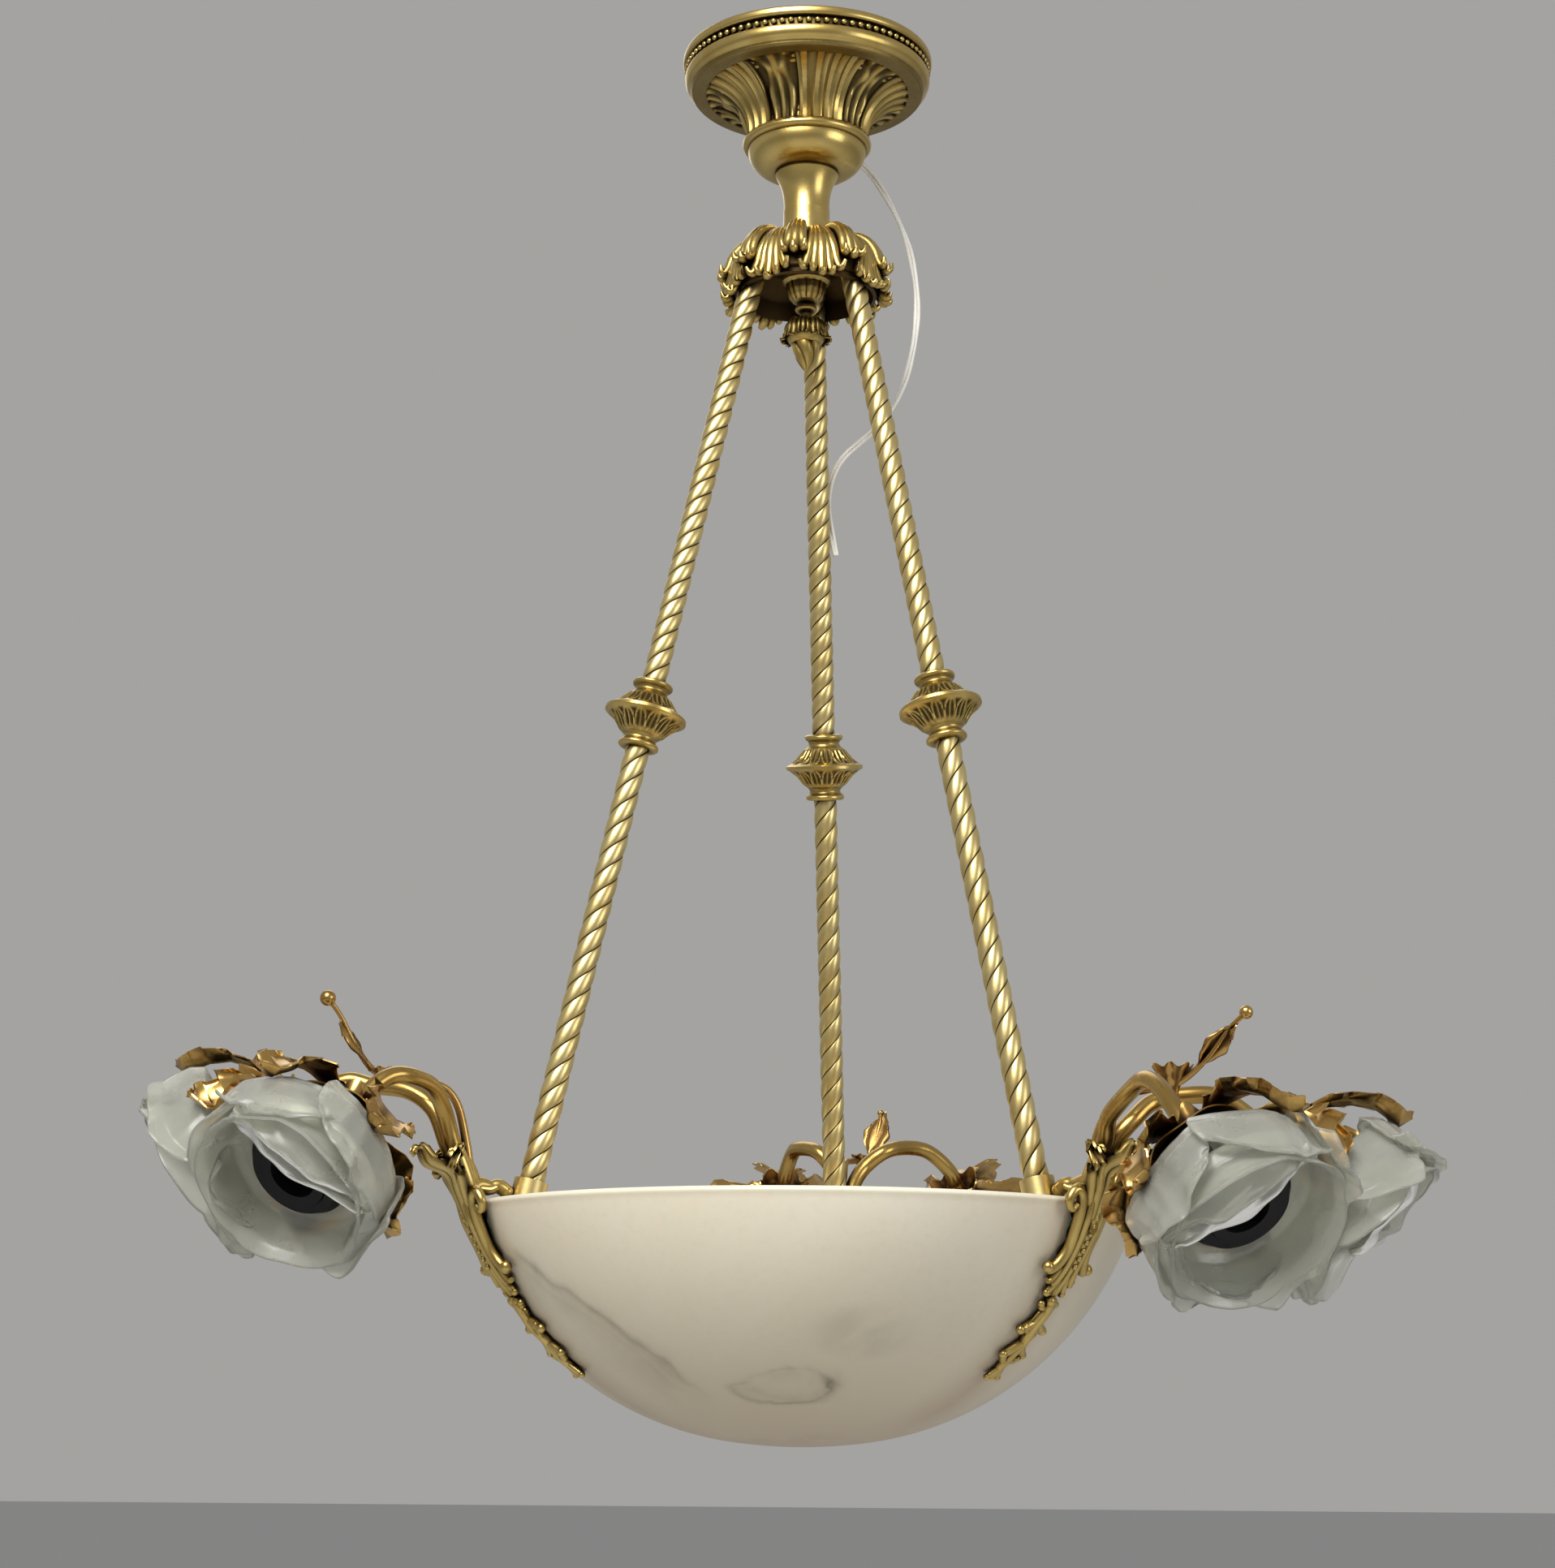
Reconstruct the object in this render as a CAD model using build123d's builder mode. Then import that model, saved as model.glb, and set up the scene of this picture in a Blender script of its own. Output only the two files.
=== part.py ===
from build123d import *
import os
from math import atan2, cos, degrees, pi, radians, sin, sqrt, tan

os.makedirs("parts", exist_ok=True)

# A hanging light: canopy, stem and crown, three rods in two lengths, an alabaster bowl,
# and three brackets over its rim that each carry two arms with rose shades.
# Millimetres, +Z up. The origin is the middle of the hanging loop's eye.
# Heights are given above the bowl's rim, and z_at turns one into z.

# Driving sizes
EYE_ABOVE_RIM = 721.0
REAR_AZIMUTH = 81.8
BRANCHES = {"rear": REAR_AZIMUTH, "left": REAR_AZIMUTH + 120, "right": REAR_AZIMUTH + 240}

CANOPY_RADIUS = 80.4
CANOPY_TOP = 741.0
CANOPY_RING_BOTTOM = 679.0
CANOPY_WALL = 2.0
BELL_RADIUS = 31.0
BELL_CENTRE = (70.0, 686.0)
BEAD_RADIUS = 1.9
BEAD_ROW_RADIUS = 77.9
BEAD_HEIGHT = 732.2
BEAD_COUNT = 88

TUBE_RADIUS = 5.0
TUBE_BORE = 3.5
TUBE_BOTTOM = 588.0
TUBE_TOP = 708.0
THREAD_GAP = 0.1
EYE_RADIUS = 6.0
EYE_RIM = 4.5
EYE_THICKNESS = 6.0
NUT_ACROSS = 17.0
NUT_HEIGHT = 5.8

STEM_TOP = 662.8
STEM_BOTTOM = 617.0
CROWN_CEILING = 604.0

ROD_RADIUS = 7.5
ROD_OUTWARD_SLOPE = 0.2295
ROD_TOP = 596.0
ROD_BOTTOM = 4.0
KNOP_HEIGHT = 294.3
KNOP_FROM_AXIS = 103.4
KNOP_HALF = 21.5
KNOP_FLANGE_RADIUS = 25.0

BOWL_RADIUS = 200.0
BOWL_WALL = 10.0
BOWL_SIDE_CURVE = 195.0
BOWL_SIDE_CENTRE = (14.0, 58.3)
BOWL_BASE_CURVE = 294.0
BOWL_RIM_ROUND = 3.0
BOLT_HEIGHT = -16.0
BOLT_RADIUS = 3.9
BOLT_HOLE_RADIUS = 4.1
PAD_THICKNESS = 1.0
PAD_RADIUS = 9.0

BRACKET_THICKNESS = 8.0
NECK_TOP = 22.0
ARM_RADIUS = 4.7
HOLDER_BORE = 13.3
HOLDER_RADIUS = 19.5
PETALS = 6

FLEX_DIAMETER = 4.6
FLEX_EXIT_FROM_AXIS = 43.5
FLEX_EXIT_AZIMUTH = 55.1
FLEX_EXIT_HEIGHT = 692.0


def z_at(height):
    """The z of a height above the bowl's rim."""
    return height - EYE_ABOVE_RIM


def outward(azimuth):
    """The level unit vector away from the upright axis."""
    return Vector(cos(radians(azimuth)), sin(radians(azimuth)), 0)


def sideways(azimuth):
    """The level unit vector square to outward, anticlockwise seen from above."""
    return Vector(-sin(radians(azimuth)), cos(radians(azimuth)), 0)


def branch_point(azimuth, out, side, height):
    """A point given by its distances out from the axis and sideways, and its height."""
    level = outward(azimuth) * out + sideways(azimuth) * side
    return level + Vector(0, 0, z_at(height))


def upright_plane(azimuth):
    """A plane through the upright axis: x runs outwards, y up."""
    return Plane(origin=(0, 0, z_at(0)), x_dir=outward(azimuth), z_dir=-sideways(azimuth))


def facing_plane(azimuth, out):
    """A plane square to outward at a distance from the axis: x runs sideways, y up."""
    origin = outward(azimuth) * out + Vector(0, 0, z_at(0))
    return Plane(origin=origin, x_dir=sideways(azimuth), z_dir=outward(azimuth))


def turned(profile, start=(0, 0, z_at(0)), along=(0, 0, 1)):
    """A piece turned about the line from start. The profile runs in (radius, distance along)."""
    along = Vector(*along).normalized()
    across = Vector(0, 0, 1).cross(along) if abs(along.Z) < 0.999 else Vector(1, 0, 0)
    across = across.normalized()
    with BuildPart() as piece:
        with BuildSketch(Plane(origin=start, x_dir=across, z_dir=across.cross(along))):
            with BuildLine():
                Polyline(*profile, close=True)
            make_face()
        revolve(axis=Axis(start, along))
    return piece


def corner_radii(points):
    """The radius at each corner of a route: as large as its shorter run allows."""
    radii = []
    for before, corner, after in zip(points, points[1:], points[2:]):
        arriving, leaving = corner - before, after - corner
        half_turn = radians(arriving.get_angle(leaving)) / 2
        radii.append(0.45 * min(arriving.length, leaving.length) / tan(half_turn))
    return radii


def bent_rod(points, radius, bore=0.0, foot_level=None):
    """A round rod or tube along straight runs joined by tangent arcs, with a level foot."""
    with BuildPart() as piece:
        with BuildLine() as route:
            FilletPolyline(*points, radius=corner_radii(points))
        with BuildSketch(Plane(origin=route.line @ 0, z_dir=route.line % 0)):
            Circle(radius)
            if bore:
                Circle(bore, mode=Mode.SUBTRACT)
        sweep()
        if foot_level is not None:
            split(bisect_by=Plane(origin=(0, 0, z_at(foot_level))), keep=Keep.TOP)
    return piece, sum(edge.length for edge in route.edges())


def save(piece, name):
    """Label a finished piece and write it under its node's name."""
    piece.part.label = name
    export_step(piece.part, f"parts/{name}.step")


# Canopy: one spun and cast shell, open at the top, with a groove for the beads,
# a trumpet bell and a plain ring at the bottom. The flex leaves through its rear wall.
def bell_arc(offset):
    """The bell's quarter arc, from its foot to its rim, moved in by an offset."""
    centre_x, centre_y = BELL_CENTRE
    radius = BELL_RADIUS + offset
    halfway = radius * sqrt(0.5)
    foot = (centre_x - radius, centre_y)
    middle = (centre_x - halfway, centre_y + halfway)
    rim = (centre_x, centre_y + radius)
    return foot, middle, rim


flex_exit = branch_point(FLEX_EXIT_AZIMUTH, FLEX_EXIT_FROM_AXIS, 0, FLEX_EXIT_HEIGHT)
flex_way = outward(FLEX_EXIT_AZIMUTH)
BUSH_RADIUS = 3.5

with BuildPart() as canopy:
    with BuildSketch(upright_plane(0)):
        with BuildLine():
            outer_foot, outer_middle, outer_rim = bell_arc(0)
            inner_foot, inner_middle, inner_rim = bell_arc(CANOPY_WALL)
            ThreePointArc(outer_rim, outer_middle, outer_foot)
            Polyline(
                outer_foot, (41.0, 684.5), (41.4, 682.0), (40.6, 680.0), (38.0, CANOPY_RING_BOTTOM),
                (36.2, CANOPY_RING_BOTTOM), inner_foot,
            )
            ThreePointArc(inner_foot, inner_middle, inner_rim)
            Polyline(
                inner_rim, (72.5, 719.5), (74.0, 723.0), (74.0, 733.0), (76.0, 738.0),
                (76.0, CANOPY_TOP), (79.0, CANOPY_TOP), (CANOPY_RADIUS, 739.5),
                (CANOPY_RADIUS, 737.0), (79.0, 735.5), (76.0, 735.0), (76.0, 729.5), (78.6, 729.0),
                (79.2, 727.0), (78.4, 723.5), (75.6, 721.0), (74.8, 717.0), outer_rim,
            )
        make_face()
    revolve(axis=Axis.Z)
    with BuildSketch(Plane(origin=flex_exit, z_dir=flex_way)):
        Circle(BUSH_RADIUS)
    extrude(amount=-12, mode=Mode.SUBTRACT)
save(canopy, "canopy")

# Beads: a row of round pearls pressed into the canopy's groove.
with BuildPart() as canopy_beads:
    with Locations((0, 0, z_at(BEAD_HEIGHT))):
        with PolarLocations(BEAD_ROW_RADIUS, BEAD_COUNT):
            Sphere(BEAD_RADIUS)
save(canopy_beads, "canopy_beads")

# Cup under the canopy: a rounded spun shell that closes the ring and sits on the stem.
CUP_FLOOR = 663.0
CUP_WALL = 1.8
CUP_FLOOR_RADIUS = 22.0
TUBE_CLEARANCE = 0.4
with BuildPart() as canopy_cup:
    with BuildSketch(upright_plane(0)):
        with BuildLine():
            tube_hole = TUBE_RADIUS + TUBE_CLEARANCE
            Polyline((38.0, CANOPY_RING_BOTTOM), (36.2, CANOPY_RING_BOTTOM))
            ThreePointArc((36.2, CANOPY_RING_BOTTOM), (31.8, 669.2), (21.5, CUP_FLOOR + CUP_WALL))
            Polyline(
                (21.5, CUP_FLOOR + CUP_WALL), (tube_hole, CUP_FLOOR + CUP_WALL),
                (tube_hole, CUP_FLOOR), (CUP_FLOOR_RADIUS, CUP_FLOOR),
            )
            ThreePointArc((CUP_FLOOR_RADIUS, CUP_FLOOR), (33.3, 667.7), (38.0, CANOPY_RING_BOTTOM))
        make_face()
    revolve(axis=Axis.Z)
save(canopy_cup, "canopy_cup")

# Terminal block on the cup's floor, where the flex and the inner wires meet.
BLOCK_HEIGHT = 12.0
BLOCK_DEPTH = 9.5
BLOCK_WIDTH = 14.0
BLOCK_INNER = 10.5
block_floor = CUP_FLOOR + CUP_WALL
with BuildPart() as terminal_block:
    with BuildSketch(facing_plane(FLEX_EXIT_AZIMUTH, BLOCK_INNER)):
        with Locations((0, block_floor + BLOCK_HEIGHT / 2)):
            Rectangle(BLOCK_WIDTH, BLOCK_HEIGHT)
    extrude(amount=BLOCK_DEPTH)
    for side in (-4.0, 4.0):
        with BuildSketch(facing_plane(FLEX_EXIT_AZIMUTH, BLOCK_INNER + BLOCK_DEPTH)):
            with Locations((side, block_floor + BLOCK_HEIGHT / 2)):
                Circle(1.8)
        extrude(amount=-5, mode=Mode.SUBTRACT)
save(terminal_block, "terminal_block")

# Bush in the canopy's rear wall, closed round the flex.
flex_bush = turned(
    [(0, -9.5), (5.0, -9.5), (5.0, -7.6), (BUSH_RADIUS, -7.6), (BUSH_RADIUS, -2.3), (5.0, -2.3),
     (5.0, -1.0), (3.4, 0), (0, 0)],
    flex_exit, flex_way,
)
save(flex_bush, "flex_bush")

# Flex: white twin wire. It droops from the bush, swings out to the right behind the rods,
# comes back to the rear rod and ends bare beside it.
flex_points = [
    flex_exit,
    flex_exit + flex_way * 10.5,
    Vector(40.3, 50.6, -31.6),
    Vector(52.8, 58.0, -47.0),
    Vector(66.5, 63.0, -73.5),
    Vector(73.0, 66.0, -100.9),
    Vector(74.6, 67.0, -126.1),
    Vector(71.4, 67.0, -154.4),
    Vector(62.8, 67.0, -185.4),
    Vector(51.7, 68.0, -201.6),
    Vector(37.4, 70.0, -214.7),
    Vector(24.7, 72.0, -225.5),
    Vector(17.4, 73.5, -239.4),
    Vector(15.6, 74.5, -258.2),
    Vector(18.2, 76.0, -278.1),
    Vector(21.2, 77.5, -290.8),
]
flex, flex_length = bent_rod(flex_points, FLEX_DIAMETER / 2)
save(flex, "flex")
flex_section = pi * FLEX_DIAMETER ** 2 / 4
print("flex length", round(flex_length, 1), "mm, radii",
      [round(radius, 1) for radius in corner_radii(flex_points)])
print("flex volume over section times length",
      round(flex.part.volume / (flex_section * flex_length), 4))

# Stem: a hollow casting with a flared top for the canopy's cup, threaded over by the tube.
tube_fit = TUBE_RADIUS + THREAD_GAP
stem_start = (0, 0, z_at(0))
with BuildPart() as stem:
    with BuildSketch(upright_plane(0)):
        with BuildLine():
            Polyline((20.3, STEM_TOP - 1.5), (20.0, STEM_TOP), (tube_fit, STEM_TOP),
                     (tube_fit, STEM_TOP - 3), (12.0, STEM_TOP - 8), (12.0, STEM_BOTTOM + 5),
                     (tube_fit, STEM_BOTTOM + 3), (tube_fit, STEM_BOTTOM), (17.0, STEM_BOTTOM))
            ThreePointArc((17.0, STEM_BOTTOM), (15.3, 626.0), (14.9, 636.0))
            ThreePointArc((14.9, 636.0), (16.0, 651.0), (20.3, STEM_TOP - 1.5))
        make_face()
    revolve(axis=Axis.Z)
save(stem, "stem")

# Centre tube: carries the weight from the crown to the hanging loop, and holds the wires.
with BuildPart() as centre_tube:
    with BuildSketch(Plane.XY.offset(z_at(TUBE_BOTTOM))):
        Circle(TUBE_RADIUS)
        Circle(TUBE_BORE, mode=Mode.SUBTRACT)
    extrude(amount=TUBE_TOP - TUBE_BOTTOM)
save(centre_tube, "centre_tube")

# Hanging loop: an eye on a hub that is threaded over the tube's top.
HUB_RADIUS = 8.0
HUB_BOTTOM = 698.0
HUB_TOP = 713.0
with BuildPart() as hanging_loop:
    with BuildSketch(Plane.XZ.offset(-EYE_THICKNESS / 2)):
        Circle(EYE_RADIUS + EYE_RIM)
        with Locations((0, z_at(HUB_TOP - 1))):
            Rectangle(2 * HUB_RADIUS - 3, 4)
    extrude(amount=EYE_THICKNESS)
    with BuildSketch(Plane.XY.offset(z_at(HUB_BOTTOM))):
        Circle(HUB_RADIUS)
    extrude(amount=HUB_TOP - HUB_BOTTOM)
    with BuildSketch(Plane.XZ.offset(-EYE_THICKNESS)):
        Circle(EYE_RADIUS)
    extrude(amount=2 * EYE_THICKNESS, mode=Mode.SUBTRACT)
    with BuildSketch(Plane.XY.offset(z_at(HUB_BOTTOM))):
        Circle(tube_fit)
    extrude(amount=TUBE_TOP - HUB_BOTTOM, mode=Mode.SUBTRACT)
save(hanging_loop, "hanging_loop")

# Lock nuts on the tube: one under the loop, one under the crown's ceiling.
with BuildPart() as tube_nuts:
    for nut_bottom in (HUB_BOTTOM - NUT_HEIGHT, CROWN_CEILING - NUT_HEIGHT):
        with BuildSketch(Plane.XY.offset(z_at(nut_bottom))):
            RegularPolygon(NUT_ACROSS / 2, 6, major_radius=False)
            Circle(tube_fit, mode=Mode.SUBTRACT)
        extrude(amount=NUT_HEIGHT)
save(tube_nuts, "tube_nuts")

# Rods lean outwards: each rod's line passes through its knop's centre.
rod_lean = sqrt(1 + ROD_OUTWARD_SLOPE ** 2)


def rod_way(azimuth):
    """The unit vector down a rod."""
    return outward(azimuth) * (ROD_OUTWARD_SLOPE / rod_lean) - Vector(0, 0, 1 / rod_lean)


def rod_distance(height):
    """How far down the rod's line from the knop's centre a height lies."""
    return (KNOP_HEIGHT - height) * rod_lean


# Crown: a cast wreath, solid at the rim and closed at the top, with a boss for each rod.
CROWN_LEAVES = 18
FIRST_LEAF = REAR_AZIMUTH + 10.0
CROWN_RADIUS = 54.4
with BuildPart() as crown:
    with BuildSketch(upright_plane(0)):
        with BuildLine():
            Spline((22.0, STEM_BOTTOM), (34.0, 614.5), (47.0, 604.0), (52.6, 590.0), (50.5, 578.0),
                   (45.5, 573.5), tangents=((1, 0), (-1, -0.2)))
            Polyline((45.5, 573.5), (42.5, 576.0), (42.5, 592.0), (33.0, CROWN_CEILING),
                     (tube_fit, CROWN_CEILING), (tube_fit, STEM_BOTTOM), (22.0, STEM_BOTTOM))
        make_face()
    revolve(axis=Axis.Z)
    with Locations((0, 0, z_at(588.0))):
        with PolarLocations(CROWN_RADIUS - 8.0, CROWN_LEAVES, FIRST_LEAF):
            Sphere(8.0)
    with Locations((0, 0, z_at(602.0))):
        with PolarLocations(CROWN_RADIUS - 17.0, CROWN_LEAVES, FIRST_LEAF):
            Sphere(9.0)
    with BuildSketch(upright_plane(0)):
        with BuildLine():
            Polyline((0, 560.0), (42.5, 560.0), (42.5, 592.0), (33.0, CROWN_CEILING),
                     (0, CROWN_CEILING), close=True)
        make_face()
    revolve(axis=Axis.Z, mode=Mode.SUBTRACT)
    for azimuth in BRANCHES.values():
        boss_end = branch_point(azimuth, KNOP_FROM_AXIS, 0, KNOP_HEIGHT)
        boss_end += rod_way(azimuth) * rod_distance(ROD_TOP)
        with BuildSketch(Plane(origin=boss_end + rod_way(azimuth) * 6, z_dir=-rod_way(azimuth))):
            Circle(9.5)
        extrude(amount=18)
        with BuildSketch(Plane(origin=boss_end, z_dir=rod_way(azimuth))):
            Circle(ROD_RADIUS)
        extrude(amount=30, mode=Mode.SUBTRACT)
save(crown, "crown")

# Leafy cup on the tube's lower end, inside the crown.
crown_cup = turned([
    (tube_fit, 597.5), (11.0, 597.5), (15.6, 590.5), (15.6, 588.0), (13.3, 586.0), (12.0, 580.0),
    (9.5, 576.0), (6.0, 574.0), (0, 574.0), (0, TUBE_BOTTOM), (tube_fit, TUBE_BOTTOM),
])
save(crown_cup, "crown_cup")

# Finial: ball, spindle, leaf cap and spiral bud, hanging under the crown.
finial = turned([
    (0, 574.0), (4.5, 574.0), (6.6, 572.4), (7.1, 570.3), (6.0, 567.6), (3.2, 565.6), (3.0, 560.0),
    (11.0, 559.5), (14.6, 556.5), (15.2, 552.5), (13.6, 548.5), (9.6, 546.0), (9.2, 542.5),
    (7.2, 537.0), (3.4, 531.5), (0, 528.5),
])
save(finial, "finial")

# Rods and knops: each knop is a turned double cone with a thin flange, plain necks and collars.
knop_profile = [
    (0, -KNOP_HALF), (11.4, -KNOP_HALF), (12.4, -19.5), (11.4, -17.5), (9.8, -15.5),
    (12.5, -12.5), (18.5, -7.0), (24.0, -2.4), (KNOP_FLANGE_RADIUS, -1.0),
    (KNOP_FLANGE_RADIUS, 1.0), (24.0, 2.4), (18.5, 7.0), (12.5, 12.5), (9.8, 15.5),
    (11.4, 17.5), (12.4, 19.5), (11.4, KNOP_HALF), (0, KNOP_HALF),
]
for name, azimuth in BRANCHES.items():
    knop_centre = branch_point(azimuth, KNOP_FROM_AXIS, 0, KNOP_HEIGHT)
    down = rod_way(azimuth)
    save(turned(knop_profile, knop_centre, down), f"knop_{name}")
    lengths = {"upper_rod": (rod_distance(ROD_TOP), -KNOP_HALF),
               "lower_rod": (KNOP_HALF, rod_distance(ROD_BOTTOM))}
    for rod_name, (start, end) in lengths.items():
        with BuildPart() as rod:
            with BuildSketch(Plane(origin=knop_centre + down * start, z_dir=down)):
                Circle(ROD_RADIUS)
            extrude(amount=end - start)
        save(rod, f"{rod_name}_{name}")


# Bowl: alabaster, in section a side arc that runs into a flatter base arc,
# with a hole for each bolt.
side_out, side_height = BOWL_SIDE_CENTRE
base_height = side_height + sqrt((BOWL_BASE_CURVE - BOWL_SIDE_CURVE) ** 2 - side_out ** 2)
arcs_meet = degrees(atan2(side_height - base_height, side_out))


def bowl_reach(height, offset):
    """The radius of the bowl's outer side at a height, moved out by an offset."""
    return side_out + sqrt((BOWL_SIDE_CURVE + offset) ** 2 - (side_height - height) ** 2)


def side_angle(height, offset):
    """The angle on the side arc at a height."""
    return degrees(atan2(height - side_height, bowl_reach(height, offset) - side_out))


def bowl_line(offset, top=0.0, bottom=None):
    """Draw the section's line between two heights, and give its lower and upper ends."""
    lower = arcs_meet if bottom is None else side_angle(bottom, offset)
    side = CenterArc(BOWL_SIDE_CENTRE, BOWL_SIDE_CURVE + offset, lower,
                     side_angle(top, offset) - lower)
    if bottom is not None:
        return side @ 0, side @ 1
    base = CenterArc((0, base_height), BOWL_BASE_CURVE + offset, -90, arcs_meet + 90)
    return base @ 0, side @ 1


with BuildPart() as bowl:
    with BuildSketch(upright_plane(0)):
        with BuildLine():
            outer_bottom, outer_top = bowl_line(0)
            inner_bottom, inner_top = bowl_line(-BOWL_WALL)
            Line(outer_bottom, inner_bottom)
            Line(outer_top, inner_top)
        make_face()
    revolve(axis=Axis.Z)
    rim_edges = bowl.edges().filter_by(GeomType.CIRCLE).group_by(Axis.Z)[-1]
    fillet(rim_edges, BOWL_RIM_ROUND)
    for azimuth in BRANCHES.values():
        with BuildSketch(facing_plane(azimuth, BOWL_RADIUS - 30)):
            with Locations((0, BOLT_HEIGHT)):
                Circle(BOLT_HOLE_RADIUS)
        extrude(amount=50, mode=Mode.SUBTRACT)
save(bowl, "bowl")

# Feet at the rods' lower ends: a cast cup round the rod, flat inside for the nut
# and hollowed outside to the bowl's wall.
FOOT_RADIUS = 10.0
FOOT_FLAT = 167.0
FOOT_CUP = 8.0
with BuildPart() as rod_feet:
    for azimuth in BRANCHES.values():
        down = rod_way(azimuth)
        rod_end = branch_point(azimuth, KNOP_FROM_AXIS, 0, KNOP_HEIGHT)
        rod_end += down * rod_distance(ROD_BOTTOM)
        with BuildSketch(Plane(origin=rod_end - down * FOOT_CUP, z_dir=down)):
            Circle(FOOT_RADIUS)
        extrude(amount=FOOT_CUP + 30)
        with BuildSketch(Plane(origin=rod_end - down * FOOT_CUP, z_dir=down)):
            Circle(ROD_RADIUS)
        extrude(amount=FOOT_CUP, mode=Mode.SUBTRACT)
        with BuildSketch(facing_plane(azimuth, FOOT_FLAT)):
            with Locations((0, -20)):
                Rectangle(40, 28)
        extrude(amount=-20, mode=Mode.SUBTRACT)
        with BuildSketch(facing_plane(azimuth, FOOT_FLAT)):
            with Locations((0, BOLT_HEIGHT)):
                Circle(BOLT_HOLE_RADIUS)
        extrude(amount=40, mode=Mode.SUBTRACT)
    with BuildSketch(upright_plane(0)):
        with BuildLine():
            inside_bottom, inside_top = bowl_line(-BOWL_WALL - PAD_THICKNESS)
            Polyline(inside_top, inside_top + (0, 30), inside_bottom + (0, 165), inside_bottom)
        make_face()
    revolve(axis=Axis.Z, mode=Mode.INTERSECT)
save(rod_feet, "rod_feet")

# Soft pads on both sides of the bowl's wall at each bolt.
with BuildPart() as bowl_pads:
    for azimuth in BRANCHES.values():
        with BuildSketch(facing_plane(azimuth, BOWL_RADIUS - 30)):
            with Locations((0, BOLT_HEIGHT)):
                Circle(PAD_RADIUS)
                Circle(BOLT_HOLE_RADIUS, mode=Mode.SUBTRACT)
        extrude(amount=45)
    with BuildSketch(upright_plane(0)):
        for far, near in ((PAD_THICKNESS, 0.0), (-BOWL_WALL, -BOWL_WALL - PAD_THICKNESS)):
            with BuildLine():
                far_bottom, far_top = bowl_line(far, -1.0, -40.0)
                near_bottom, near_top = bowl_line(near, -1.0, -40.0)
                Line(far_bottom, near_bottom)
                Line(far_top, near_top)
            make_face()
    revolve(axis=Axis.Z, mode=Mode.INTERSECT)
save(bowl_pads, "bowl_pads")

# Bolts through the wall, from the nut inside to the thread in the bracket.
BOLT_INNER = 156.5
BOLT_OUTER = 206.0
STRIP_THICKNESS = 2.0
NUT_OUTER = FOOT_FLAT - STRIP_THICKNESS
BOWL_NUT_ACROSS = 13.0
BOWL_NUT_HEIGHT = 6.5
with BuildPart() as rim_bolts:
    for azimuth in BRANCHES.values():
        with BuildSketch(facing_plane(azimuth, BOLT_INNER)):
            with Locations((0, BOLT_HEIGHT)):
                Circle(BOLT_RADIUS)
        extrude(amount=BOLT_OUTER - BOLT_INNER)
save(rim_bolts, "rim_bolts")

with BuildPart() as rim_nuts:
    for azimuth in BRANCHES.values():
        with BuildSketch(facing_plane(azimuth, NUT_OUTER)):
            with Locations((0, BOLT_HEIGHT)):
                RegularPolygon(BOWL_NUT_ACROSS / 2, 6, major_radius=False)
                Circle(BOLT_RADIUS, mode=Mode.SUBTRACT)
        extrude(amount=-BOWL_NUT_HEIGHT)
save(rim_nuts, "rim_nuts")

# Strips under the nuts carry the lampholders inside the bowl.
STRIP_WIDTH = 16.0
INNER_HOLDER_BACK = 150.0
INNER_HOLDER_HEIGHT = -40.0
with BuildPart() as holder_strips:
    for azimuth in BRANCHES.values():
        with BuildSketch(upright_plane(azimuth)):
            with BuildLine():
                Polyline((165, -8), (167, -8), (167, -28), (152, -28), (152, -54), (150, -54),
                         (150, -26), (165, -26), close=True)
            make_face()
        extrude(amount=STRIP_WIDTH / 2, both=True)
        with BuildSketch(facing_plane(azimuth, FOOT_FLAT)):
            with Locations((0, BOLT_HEIGHT)):
                Circle(BOLT_HOLE_RADIUS)
        extrude(amount=-STRIP_THICKNESS, mode=Mode.SUBTRACT)
save(holder_strips, "holder_strips")

with BuildPart() as bowl_lampholders:
    for azimuth in BRANCHES.values():
        back = branch_point(azimuth, INNER_HOLDER_BACK, 0, INNER_HOLDER_HEIGHT)
        add(turned([(0, 0), (13.0, 0), (17.5, 6.0), (17.5, 44.0), (HOLDER_BORE, 44.0),
                    (HOLDER_BORE, 14.0), (0, 14.0)], back, -outward(azimuth)).part)
save(bowl_lampholders, "bowl_lampholders")

# Brackets: a casting that hugs the bowl's outside, with a claw over the rim,
# scrolls at its upper corners and foot, and a neck for the two arms.
LEAF_OUTLINE = [(7.0, 2.0), (9.5, -12.0), (12.0, -24.0), (9.0, -36.0), (5.5, -50.0), (3.0, -58.0)]
BAND_SPREAD = 14.0


def hugging_band(azimuth, near, far, top, bottom):
    """A band of the bowl's outside between two offsets, over a few degrees."""
    with BuildPart() as band:
        with BuildSketch(upright_plane(azimuth - BAND_SPREAD)):
            with BuildLine():
                far_bottom, far_top = bowl_line(far, top, bottom)
                near_bottom, near_top = bowl_line(near, top, bottom)
                Line(far_bottom, near_bottom)
                Line(far_top, near_top)
            make_face()
        revolve(axis=Axis.Z, revolution_arc=2 * BAND_SPREAD)
    return band.part


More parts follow.
